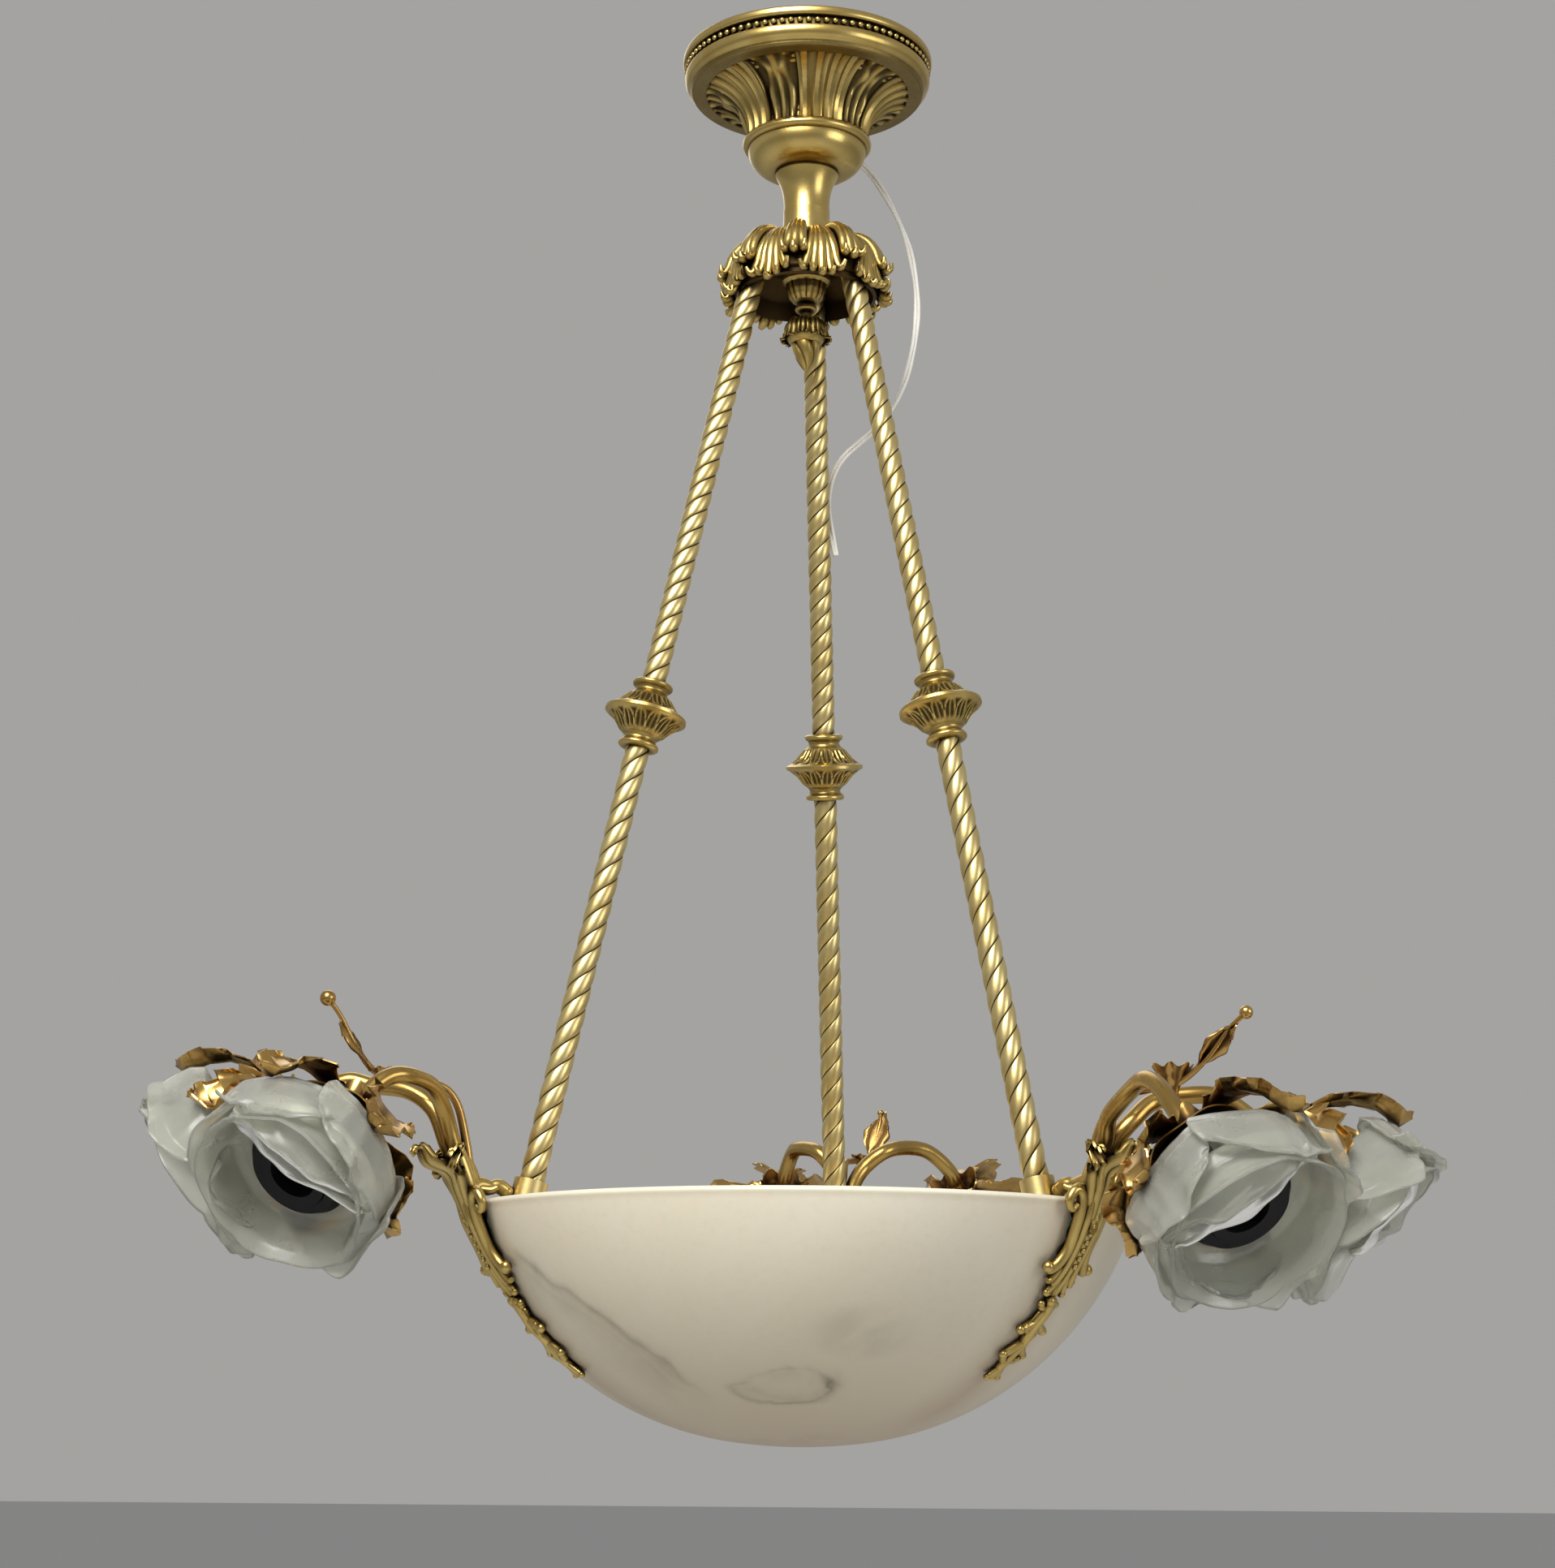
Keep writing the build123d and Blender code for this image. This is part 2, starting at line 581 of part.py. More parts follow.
def leaf_plate(azimuth, outline, lobes):
    """A thick plate cut to a leaf outline, alike on both sides, with round lobes."""
    with BuildPart() as plate:
        with BuildSketch(facing_plane(azimuth, BOWL_RADIUS - 130)):
            with BuildLine():
                Polyline(*outline, *[(-x, y) for x, y in reversed(outline)], close=True)
            make_face()
            for x, y, radius in lobes:
                with Locations((x, y), (-x, y)):
                    Circle(radius)
        extrude(amount=160)
    return plate.part


for name, azimuth in BRANCHES.items():
    plate = leaf_plate(azimuth, LEAF_OUTLINE, [(13.0, -3.0, 6.5), (9.5, -44.0, 5.0)])
    band = hugging_band(azimuth, PAD_THICKNESS, PAD_THICKNESS + BRACKET_THICKNESS, 6.0, -62.0)
    with BuildPart() as bracket:
        add(plate)
        add(band, mode=Mode.INTERSECT)
        with BuildSketch(upright_plane(azimuth)):
            with BuildLine():
                Polyline((198, 8), (203.5, NECK_TOP), (220.5, NECK_TOP), (216, 4), (211, -16),
                         (201.6, -14), (201.6, 1), (198, 1), close=True)
            make_face()
        extrude(amount=11, both=True)
        with BuildSketch(upright_plane(azimuth)):
            with BuildLine():
                Polyline((181, 1), (181, 6), (186, 9), (199, 10), (199, 1), close=True)
            make_face()
        extrude(amount=6, both=True)
        with BuildSketch(facing_plane(azimuth, BOWL_RADIUS - 10)):
            with Locations((0, BOLT_HEIGHT)):
                Circle(BOLT_RADIUS)
        extrude(amount=BOLT_OUTER - BOWL_RADIUS + 10, mode=Mode.SUBTRACT)
    save(bracket, f"bracket_{name}")

# Drop ornaments: small leafy links below each bracket, lying on the bowl.
DROP_OUTLINE = [(3.0, -58.6), (6.0, -66.0), (3.0, -80.0), (5.0, -90.0), (1.5, -110.0)]
drops = []
for azimuth in BRANCHES.values():
    plate = leaf_plate(azimuth, DROP_OUTLINE, [(6.0, -74.0, 3.8), (5.0, -96.0, 3.2)])
    drops.append(plate & hugging_band(azimuth, 0.4, 6.0, -58.6, -112.0))
with BuildPart() as drop_ornaments:
    add(drops)
save(drop_ornaments, "drop_ornaments")


# Arms: two brass tubes from each neck, spreading sideways and arching over to the shades.
# They are bent by hand, so each has its own end (out, side, height), its shade's splay and
# tilt in degrees, and its highest point.
ARMS = {
    "left_front": (288.6, 50.5, 42.3, 37.4, 39.9, 65.0),
    "left_back": (292.5, 54.0, 55.0, 20.0, 35.0, 66.5),
    "right_front": (309.1, 68.8, 25.0, 22.1, 45.1, 58.0),
    "right_back": (283.0, 64.0, 34.6, 22.0, 45.0, 58.0),
    "rear_left": (278.0, 50.0, 35.0, 20.0, 47.0, 60.0),
    "rear_right": (278.0, 70.0, 35.0, 20.0, 47.0, 60.0),
}
ARM_SIDES = {
    "left": {1: "front", -1: "back"},
    "right": {-1: "front", 1: "back"},
    "rear": {1: "left", -1: "right"},
}
SOCKET_RUN = 16.0


def arm_finish(azimuth, side, arm_name):
    """Where an arm ends, and the unit vector along its shade, outwards and down."""
    out, across, height, splay, tilt, _ = ARMS[arm_name]
    level = outward(azimuth + side * splay) * cos(radians(tilt))
    way = level - Vector(0, 0, sin(radians(tilt)))
    return branch_point(azimuth, out, side * across, height), way


for name, azimuth in BRANCHES.items():
    for side, side_name in ARM_SIDES[name].items():
        arm_name = f"{name}_{side_name}"
        arm_end, way = arm_finish(azimuth, side, arm_name)
        end_out, end_side, _, _, _, crest = ARMS[arm_name]
        crest_out = 0.6 * end_out + 80.0
        crest_side = 0.35 * end_side + 17.5
        arm_points = [
            branch_point(azimuth, 210.6, side * 5.2, NECK_TOP - 6.0),
            branch_point(azimuth, 217.5, side * 5.6, 31.0),
            branch_point(azimuth, 226.0, side * (0.4 * crest_side - 4.0), crest - 17.0),
            branch_point(azimuth, crest_out - 16.0, side * (crest_side - 14.0), crest - 5.0),
            branch_point(azimuth, crest_out, side * crest_side, crest),
            arm_end - way * SOCKET_RUN,
            arm_end,
        ]
        arm, _ = bent_rod(arm_points, ARM_RADIUS, ARM_RADIUS - 1.2, NECK_TOP)
        save(arm, f"arm_{arm_name}")

        # Leafy cup behind the shade, notched into leaves.
        cup = turned([
            (0, 0), (9.0, 0), (14.0, 3.0), (25.0, 8.0), (36.0, 15.5), (46.0, 24.0), (53.0, 34.0),
            (51.3, 34.8), (44.8, 25.6), (35.0, 17.4), (24.4, 10.0), (13.0, 6.0), (0, 6.0),
        ], arm_end, way)
        across_way = Vector(0, 0, 1).cross(way).normalized()
        with BuildPart() as leaf_cup:
            add(cup.part)
            for turn in range(PETALS):
                outwards = across_way.rotate(Axis((0, 0, 0), way), 360 * turn / PETALS)
                with BuildSketch(Plane(origin=arm_end, x_dir=way.cross(outwards), z_dir=outwards)):
                    with BuildLine():
                        Polyline((0, 13), (16, 42), (-16, 42), close=True)
                    make_face()
                extrude(amount=60, mode=Mode.SUBTRACT)
        save(leaf_cup, f"leaf_cup_{arm_name}")

        # Rose shade of frosted glass, thick at its outer petals, scalloped at the lip.
        glass = turned([
            (20.5, 47.8), (26.0, 47.8), (35.0, 37.0), (43.0, 34.0), (50.5, 37.0), (55.5, 46.0),
            (57.5, 58.0), (56.0, 70.0), (54.0, 82.0), (50.5, 82.0), (51.5, 70.0), (47.0, 60.0),
            (37.0, 53.5), (31.0, 51.8), (20.5, 51.8),
        ], arm_end, way)
        with BuildPart() as shade:
            add(glass.part)
            for turn in range(PETALS):
                outwards = across_way.rotate(Axis((0, 0, 0), way), 360 * (turn + 0.5) / PETALS)
                notch = arm_end + way * 86.0 + outwards * 30.0
                with BuildSketch(Plane(origin=notch, z_dir=outwards)):
                    Circle(10.0)
                extrude(amount=40, mode=Mode.SUBTRACT)
        save(shade, f"shade_{arm_name}")

        # Threaded ring that clamps the glass on the lampholder.
        shade_ring = turned([
            (20.0, 52.3), (29.0, 52.3), (29.0, 55.0), (25.5, 56.5), (25.0, 61.0), (20.0, 61.0),
        ], arm_end, way)
        save(shade_ring, f"shade_ring_{arm_name}")

# Lampholders for a large screw lamp, each with a flange behind the glass.
with BuildPart() as lampholders:
    for name, azimuth in BRANCHES.items():
        for side, side_name in ARM_SIDES[name].items():
            arm_end, way = arm_finish(azimuth, side, f"{name}_{side_name}")
            add(turned([
                (0, 6.0), (9.0, 6.0), (16.0, 10.0), (18.5, 16.0), (HOLDER_RADIUS, 20.0),
                (HOLDER_RADIUS, 44.0), (24.0, 44.0), (24.0, 47.5), (HOLDER_RADIUS, 47.5),
                (HOLDER_RADIUS, 62.0), (HOLDER_BORE, 62.0), (HOLDER_BORE, 32.0), (0, 32.0),
            ], arm_end, way).part)
save(lampholders, "lampholders")

# Tendrils: a thin stem between the arms with a leaf tuft, a leaf blade and a rounded tip.
# They are bent by hand too: the rear one leans to the right and its leaf is broader.
STEM_RADIUS = 1.9
TENDRILS = {  # highest point, tip (out, height), lean, blade half width and place, tip, tuft
    "left": (67.5, 292.0, 111.0, 0.0, 6.0, 0.15, 4.6, 0.6),
    "right": (58.0, 305.0, 96.0, 0.0, 7.0, 0.15, 3.8, 1.2),
    "rear": (51.0, 277.0, 87.0, -18.0, 9.5, 0.65, 2.2, 0.6),
}
with BuildPart() as tendrils:
    for name, azimuth in BRANCHES.items():
        crest, tip_out, tip_height, lean, blade, blade_place, tip, tuft = TENDRILS[name]
        over, rise = tip_out - 262.0, tip_height - crest - 2.5
        stem_points = [
            branch_point(azimuth, 205.9, 0, NECK_TOP - 4.0),
            branch_point(azimuth, 208.0, 0, 32.0),
            branch_point(azimuth, 214.0, 0, crest - 13.5),
            branch_point(azimuth, 224.5, 0, crest - 3.0),
            branch_point(azimuth, 244.0, 0.1 * lean, crest),
            branch_point(azimuth, 262.0, 0.5 * lean, crest + 2.5),
            branch_point(azimuth, 262.0 + 0.40 * over, 0.8 * lean, crest + 2.5 + 0.32 * rise),
            branch_point(azimuth, 262.0 + 0.74 * over, lean, crest + 2.5 + 0.76 * rise),
            branch_point(azimuth, tip_out, lean, tip_height),
        ]
        add(bent_rod(stem_points, STEM_RADIUS, foot_level=NECK_TOP)[0].part)
        with Locations(stem_points[-1]):
            Sphere(tip)
        blade_way = (stem_points[-2] - stem_points[-4]).normalized()
        blade_middle = stem_points[-3] * (1 - blade_place) + stem_points[-2] * blade_place
        blade_plane = Plane(origin=blade_middle, x_dir=blade_way, z_dir=sideways(azimuth).cross(blade_way))
        with BuildSketch(blade_plane):
            Ellipse(14.0, blade)
        extrude(amount=0.9, both=True)
        tuft_foot = branch_point(azimuth, 258.0, 0.4 * lean, crest - 1.5 - 4.0 * tuft)
        add(turned([(0, 0), (3.0, 0), (3.0 + 6.0 * tuft, 12.0 * tuft), (1.6 + 6.0 * tuft, 12.0 * tuft),
                    (2.4, 3.0), (0, 3.0)], tuft_foot, (0, 0, 1)).part)
save(tendrils, "tendrils")
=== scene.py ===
import bmesh
import bpy
from math import atan2, cos, degrees, exp, hypot, pi, radians, sin, sqrt
from mathutils import Matrix, Vector, noise


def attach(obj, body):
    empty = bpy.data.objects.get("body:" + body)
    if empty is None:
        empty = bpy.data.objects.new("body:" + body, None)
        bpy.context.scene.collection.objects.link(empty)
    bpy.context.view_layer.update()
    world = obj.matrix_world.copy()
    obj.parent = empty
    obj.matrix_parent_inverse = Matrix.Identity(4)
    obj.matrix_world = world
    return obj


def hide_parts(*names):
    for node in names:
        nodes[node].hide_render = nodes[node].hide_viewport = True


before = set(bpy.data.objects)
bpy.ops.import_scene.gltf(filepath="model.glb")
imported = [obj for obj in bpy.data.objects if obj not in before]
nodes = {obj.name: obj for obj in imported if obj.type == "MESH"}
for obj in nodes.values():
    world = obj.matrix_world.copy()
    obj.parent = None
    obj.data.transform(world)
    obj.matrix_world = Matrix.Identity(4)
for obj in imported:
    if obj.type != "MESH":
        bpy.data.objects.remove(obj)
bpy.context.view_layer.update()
scene = bpy.context.scene

# Studio: a pale floor far below the hanging light, an even pale surround and soft lamps.
# Metal and glass see the same surround as the camera does. The camera stands in front,
# a little below the bowl's rim, and looks slightly up.
scene.view_settings.view_transform = "Standard"


def add(name, data):
    """Put one object into the scene."""
    made = bpy.data.objects.new(name, data)
    scene.collection.objects.link(made)
    return made


class Value:
    """One output of a material's nodes. Arithmetic on it adds Math nodes."""

    def __init__(self, tree, socket):
        self.tree = tree
        self.socket = socket

    def math(self, operation, *values):
        step = self.tree.nodes.new("ShaderNodeMath")
        step.operation = operation
        for place, value in enumerate(values):
            if isinstance(value, Value):
                self.tree.links.new(value.socket, step.inputs[place])
            else:
                step.inputs[place].default_value = value
        return Value(self.tree, step.outputs[0])

    def __add__(self, other):
        return self.math("ADD", self, other)

    def __sub__(self, other):
        return self.math("SUBTRACT", self, other)

    def __mul__(self, other):
        return self.math("MULTIPLY", self, other)

    def __pow__(self, other):
        return self.math("POWER", self, other)

    def __rsub__(self, other):
        return self.math("SUBTRACT", other, self)

    def __abs__(self):
        return self.math("ABSOLUTE", self)

    __radd__ = __add__
    __rmul__ = __mul__

    def held(self):
        """The value kept between 0 and 1."""
        step = self.math("ADD", self, 0.0)
        step.socket.node.use_clamp = True
        return step


class Finish:
    """A material or world whose nodes all come from one method."""

    def __init__(self, block):
        block.use_nodes = True
        self.tree = block.node_tree
        self.tree.nodes.clear()
        self.block = block

    def node(self, kind, settings, inputs, output=0):
        step = self.tree.nodes.new(kind)
        for key, value in settings.items():
            if key == "stops":
                ramp = step.color_ramp.elements
                while len(ramp) < len(value):
                    ramp.new(0.5)
                for stop, (place, colour) in zip(ramp, value):
                    stop.position = place
                    stop.color = colour
            else:
                setattr(step, key, value)
        for key, value in inputs.items():
            if isinstance(value, Value):
                self.tree.links.new(value.socket, step.inputs[key])
            else:
                step.inputs[key].default_value = value
        return Value(self.tree, step.outputs[output] if step.outputs else None)

    def blend(self, amount, first, second):
        """A colour between two colours."""
        return self.node("ShaderNodeMix", {"data_type": "RGBA"},
                         {"Factor": amount, 6: first, 7: second}, output=2)

    def place(self):
        return self.node("ShaderNodeTexCoord", {}, {}, output="Object")

    def cloud(self, scale, detail=3.0, warp=0.0, where=None):
        """Soft noise between 0 and 1."""
        return self.node("ShaderNodeTexNoise", {}, {
            "Vector": where or self.place(), "Scale": scale, "Detail": detail,
            "Distortion": warp,
        })

    def surface(self, inputs, kind="ShaderNodeBsdfPrincipled"):
        """Close the material with one shader, and give it."""
        shader = self.node(kind, {}, inputs)
        self.node("ShaderNodeOutputMaterial", {}, {"Surface": shader})
        return self.block


def new_finish(name):
    return Finish(bpy.data.materials.new(name))


surround = Finish(bpy.data.worlds.new("surround"))
scene.world = surround.block
SURROUND_SEEN = (0.37, 0.366, 0.355, 1)
SURROUND_LIGHT = (0.97, 0.98, 1.0, 1)
SURROUND_STRENGTH = 0.36
rays = surround.node("ShaderNodeLightPath", {}, {}, output="Is Camera Ray")
light_path = rays.socket.node
seen = (rays + Value(surround.tree, light_path.outputs["Is Glossy Ray"])
        + Value(surround.tree, light_path.outputs["Is Transmission Ray"])).held()
lit = surround.node("ShaderNodeBackground", {}, {
    "Color": SURROUND_LIGHT, "Strength": SURROUND_STRENGTH})
shown = surround.node("ShaderNodeBackground", {}, {"Color": SURROUND_SEEN, "Strength": 1.0})
either = surround.node("ShaderNodeMixShader", {}, {0: seen, 1: lit, 2: shown})
surround.node("ShaderNodeOutputWorld", {}, {"Surface": either})

FLOOR_HALF = 40.0
FLOOR_HEIGHT = -1.9
FLOOR_COLOUR = (0.66, 0.655, 0.635, 1)
floor_mesh = bpy.data.meshes.new("floor")
floor_shape = bmesh.new()
bmesh.ops.create_grid(floor_shape, x_segments=1, y_segments=1, size=FLOOR_HALF)
bmesh.ops.translate(floor_shape, verts=floor_shape.verts, vec=(0, 0, FLOOR_HEIGHT))
floor_shape.to_mesh(floor_mesh)
floor_shape.free()
floor_mesh.materials.append(new_finish("floor_paint").surface(
    {"Color": FLOOR_COLOUR}, "ShaderNodeBsdfDiffuse"))
add("floor", floor_mesh)

LAMPS_AIM = Vector((0, 0, -0.45))
LAMPS = [
    ("window", (-0.7, -2.1, 1.25), 1.6, 84.0, (1.0, 0.985, 0.95)),
    ("fill", (1.9, -1.3, -0.2), 1.1, 10.0, (0.96, 0.98, 1.0)),
    ("back", (-0.4, 2.0, 1.2), 1.6, 9.0, (1.0, 0.99, 0.97)),
]
for lamp_name, lamp_place, lamp_size, lamp_power, lamp_colour in LAMPS:
    lamp = bpy.data.lights.new(lamp_name, "AREA")
    lamp.shape = "SQUARE"
    lamp.size = lamp_size
    lamp.energy = lamp_power
    lamp.color = lamp_colour
    aim = LAMPS_AIM - Vector(lamp_place)
    add(lamp_name, lamp).matrix_world = Matrix.LocRotScale(
        Vector(lamp_place), aim.to_track_quat("-Z", "Y"), None)

CAMERA_PLACE = (-0.0158, -1.8084, -0.8476)
CAMERA_TILT = 102.1
CAMERA_ROLL = 0.45
camera = add("camera", bpy.data.cameras.new("camera"))
camera.data.lens = 68.94
camera.data.sensor_width = 36.0
camera.data.clip_end = 60.0
camera.matrix_world = (
    Matrix.Translation(CAMERA_PLACE)
    @ Matrix.Rotation(radians(CAMERA_TILT), 4, "X")
    @ Matrix.Rotation(radians(CAMERA_ROLL), 4, "Z")
)
scene.camera = camera

# Brass: cast and spun parts, gilt and polished, with brown patina and painted shade in the
# hollows.
# The stamped leaves are thinner sheet with a redder tone.


def metal(name, bright, worn, patina_and_shade, roughness, reach):
    """Polished metal with faint stains, and dark tarnish mixed with painted shade where it is
    carved or shut in.
    """
    finish = new_finish(name)
    stain = finish.cloud(38.0, 4.0, 0.5)
    fine = finish.cloud(420.0, 3.0)
    tone = finish.blend((stain * 1.8 - 0.45).held(), bright, worn)
    # Painted shade: ambient occlusion and the carved depth darken the colour towards the patina
    # tone.
    hollow = finish.node("ShaderNodeAmbientOcclusion", {"samples": 6, "inside": False},
                         {"Distance": reach}, output="AO")
    carved = finish.node("ShaderNodeAttribute", {"attribute_name": "recess"}, {}, output="Fac")
    shade = (1.0 - hollow) * 1.9 + carved * 1.0 + (fine - 0.5) * 0.2 - 0.2
    colour = finish.blend(shade.held(), tone, patina_and_shade)
    bump = finish.node("ShaderNodeBump", {}, {
        "Strength": 0.12, "Distance": 0.0004, "Height": fine + stain * 2.0})
    return finish.surface({
        "Base Color": colour, "Metallic": 1.0,
        "Roughness": (roughness + (stain - 0.5) * 0.14 + shade.held() * 0.2).held(),
        "Normal": bump})


PATINA_AND_SHADE = (0.030, 0.018, 0.007, 1)
HOLLOW_REACH = 0.008
gilt = metal("gilt", (0.73, 0.55, 0.20, 1), (0.50, 0.34, 0.095, 1), PATINA_AND_SHADE, 0.29, HOLLOW_REACH)
# The rods and their feet take a paler copy of the gilt, lighter as painted light.
lit_gilt_rod = metal("lit_gilt_rod", (0.86, 0.71, 0.34, 1), (0.66, 0.49, 0.18, 1), PATINA_AND_SHADE, 0.36,
                 HOLLOW_REACH)
gilt_tube = metal("gilt_tube", (0.58, 0.39, 0.12, 1), (0.42, 0.26, 0.07, 1),
                  (0.035, 0.018, 0.007, 1), 0.27, HOLLOW_REACH)
gilt_leaf = metal("gilt_leaf", (0.74, 0.49, 0.16, 1), (0.36, 0.19, 0.06, 1),
                  (0.050, 0.020, 0.010, 1), 0.25, HOLLOW_REACH)
# A dark dull brass for the lining under the crown, dark enough to stand as painted shade.
unpolished_and_shaded = metal("unpolished_and_shaded", (0.13, 0.085, 0.035, 1), (0.07, 0.045, 0.02, 1),
                   (0.02, 0.013, 0.008, 1), 0.5, 0.02)

# Three rods, brackets and pairs of arms stand round the axis. Shapes are drawn in
# millimetres from the level of the bowl's rim.
AZIMUTHS = {"rear": 81.8, "left": 201.8, "right": 321.8}
LOOP_ABOVE_RIM = 721.0
to_frame = Matrix.Translation((0, 0, -LOOP_ABOVE_RIM / 1000)) @ Matrix.Scale(0.001, 4)


def flowing(points, count):
    """Points along a smooth line through the given points."""
    points = [Vector(point) for point in points]
    wide = [2 * points[0] - points[1], *points, 2 * points[-1] - points[-2]]
    line = []
    for step in range(count):
        run = step * (len(points) - 1) / (count - 1)
        first = min(int(run), len(points) - 2)
        part = run - first
        a, b, c, d = wide[first:first + 4]
        line.append(b + 0.5 * part * ((c - a) + part * (2 * a - 5 * b + 4 * c - d)
                                      + part * part * (3 * b - a - 3 * c + d)))
    return line


def divided(points, step):
    """The points of a straight-run outline, with more points on its long runs."""
    line = [Vector(points[0])]
    for start, end in zip(points, points[1:]):
        start, end = Vector(start), Vector(end)
        parts = max(1, round((end - start).length / step))
        line += [start.lerp(end, (k + 1) / parts) for k in range(parts)]
    return line


def turn(shape, profile, steps):
    """Spin a profile of (radius, height) about the upright axis."""
    verts = [shape.verts.new((radius, 0, height)) for radius, height in profile]
    edges = [shape.edges.new(pair) for pair in zip(verts, verts[1:])]
    bmesh.ops.spin(shape, geom=verts + edges, cent=(0, 0, 0), axis=(0, 0, 1), angle=2 * pi,
                   steps=steps, use_merge=True, use_duplicate=False)
    bmesh.ops.remove_doubles(shape, verts=shape.verts, dist=0.002)


def recess_of(shape):
    """Each point's place for how deep it lies, which the metal reads as tarnish and painted shade.
    """
    kept = shape.verts.layers.float
    return kept.get("recess") or kept.new("recess")


def carve(shape, relief):
    """Move each point of a turned shape: relief gives the change in radius and height, and
    how dark the place is."""
    depths = recess_of(shape)
    for vert in shape.verts:
        radius = hypot(vert.co.x, vert.co.y)
        if radius < 0.01:
            continue
        angle = atan2(vert.co.y, vert.co.x)
        change, rise, dark = relief(radius, vert.co.z, angle)
        vert.co.x *= (radius + change) / radius
        vert.co.y *= (radius + change) / radius
        vert.co.z += rise
        vert[depths] = min(1.0, max(0.0, dark))


def press(shape, place, across, along, thickness, sunk=None):
    """Bend a flat sheet to shape: place gives a point for each u (-1 to 1) and v (0 to 1),
    and sunk says how dark it is there."""
    depths = recess_of(shape)
    sheet = bmesh.ops.create_grid(shape, x_segments=across, y_segments=along, size=1.0)
    for vert in sheet["verts"]:
        u, v = vert.co.x, (vert.co.y + 1) / 2
        vert.co = place(u, v)
        if sunk:
            vert[depths] = min(1.0, max(0.0, sunk(u, v)))
    bmesh.ops.remove_doubles(shape, verts=sheet["verts"], dist=MERGED_WITHIN)
    faces = list({face for vert in sheet["verts"] if vert.is_valid for face in vert.link_faces})
    bmesh.ops.recalc_face_normals(shape, faces=faces)
    shape.normal_update()
    back = bmesh.ops.extrude_face_region(shape, geom=faces, use_keep_orig=True)["geom"]
    for vert in back:
        if isinstance(vert, bmesh.types.BMVert):
            vert.co -= vert.normal * thickness


def draw(shape, points, radii, count=24, roundness=3):
    """Cast a round stem of changing thickness along a smooth line."""
    line = flowing(points, count)
    widths = flowing([(radius, 0, 0) for radius in radii], count)
    curve = bpy.data.curves.new("stem_line", "CURVE")
    curve.dimensions = "3D"
    curve.bevel_depth = 1.0
    curve.bevel_resolution = roundness
    curve.use_fill_caps = True
    spline = curve.splines.new("POLY")
    spline.points.add(count - 1)
    for point, where, width in zip(spline.points, line, widths):
        point.co = (*where, 1)
        point.radius = width.x
    holder = bpy.data.objects.new("stem_line", curve)
    mesh = bpy.data.meshes.new_from_object(holder)
    shape.from_mesh(mesh)
    bpy.data.objects.remove(holder)
    bpy.data.curves.remove(curve)
    bpy.data.meshes.remove(mesh)


def pearl(shape, where, radius, fineness=2):
    """Add a small ball."""
    bmesh.ops.create_icosphere(shape, subdivisions=fineness, radius=radius,
                               matrix=Matrix.Translation(where))


MERGED_WITHIN = 0.0005


def piece(shape, name, material, replaced=(), body="fixture", crisp=38.0,
          place=to_frame):
    """Close a shape into a finished object that rides on its body."""
    bmesh.ops.remove_doubles(shape, verts=shape.verts, dist=MERGED_WITHIN)
    bmesh.ops.recalc_face_normals(shape, faces=shape.faces)
    mesh = bpy.data.meshes.new(name)
    shape.to_mesh(mesh)
    shape.free()
    mesh.transform(place)
    mesh.shade_smooth()
    mesh.set_sharp_from_angle(angle=radians(crisp))
    mesh.materials.append(material)
    made = add(name, mesh)
    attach(made, body)
    if replaced:
        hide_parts(*replaced)
    return made


def coat(material, *names):
    """Give a CAD node its finished material."""
    for name in names:
        mesh = nodes[name].data
        mesh.materials.clear()
        mesh.materials.append(material)


# Flex: white twin wire, two cores side by side that turn over each other as it hangs.
# It leaves a bush in the canopy's rear wall and ends bare beside the rear rod.
white_cover = new_finish("white_cover")
cover_grime = white_cover.cloud(90.0, 3.0)
cover_colour = white_cover.blend((cover_grime * 1.4 - 0.35).held(), (0.95, 0.93, 0.88, 1),
                                 (0.84, 0.80, 0.72, 1))
white_cover.surface({
    "Base Color": cover_colour, "Roughness": (cover_grime * 0.3 + 0.28).held()})

CORE_RADIUS = 0.00118
EXIT_AZIMUTH = radians(55.1)
exit_way = Vector((cos(EXIT_AZIMUTH), sin(EXIT_AZIMUTH), 0))
flex_exit = exit_way * 0.0435 + Vector((0, 0, -0.029))
flex_route = [
    flex_exit,
    flex_exit + exit_way * 0.0105,
    (0.0403, 0.0506, -0.0316),
    (0.0528, 0.0580, -0.0470),
    (0.0665, 0.0630, -0.0735),
    (0.0730, 0.0660, -0.1009),
    (0.0746, 0.0670, -0.1261),
    (0.0714, 0.0670, -0.1544),
    (0.0628, 0.0670, -0.1854),
    (0.0517, 0.0680, -0.2016),
    (0.0374, 0.0700, -0.2147),
    (0.0247, 0.0720, -0.2255),
    (0.0174, 0.0735, -0.2394),
    (0.0156, 0.0745, -0.2582),
    (0.0182, 0.0760, -0.2781),
    (0.0212, 0.0775, -0.2908),
]
route_curve = bpy.data.curves.new("flex_route", "CURVE")
route_curve.dimensions = "3D"
route_curve.resolution_u = 16
route_spline = route_curve.splines.new("NURBS")
route_spline.points.add(len(flex_route) - 1)
for route_point, where in zip(route_spline.points, flex_route):
    route_point.co = (*where, 1)
route_spline.order_u = 3
route_spline.use_endpoint_u = True
route_holder = bpy.data.objects.new("flex_route", route_curve)
route_mesh = bpy.data.meshes.new_from_object(route_holder)
flex_line = [vert.co.copy() for vert in route_mesh.vertices]
flex_length = sum((b - a).length for a, b in zip(flex_line, flex_line[1:]))
bpy.data.objects.remove(route_holder)
bpy.data.meshes.remove(route_mesh)

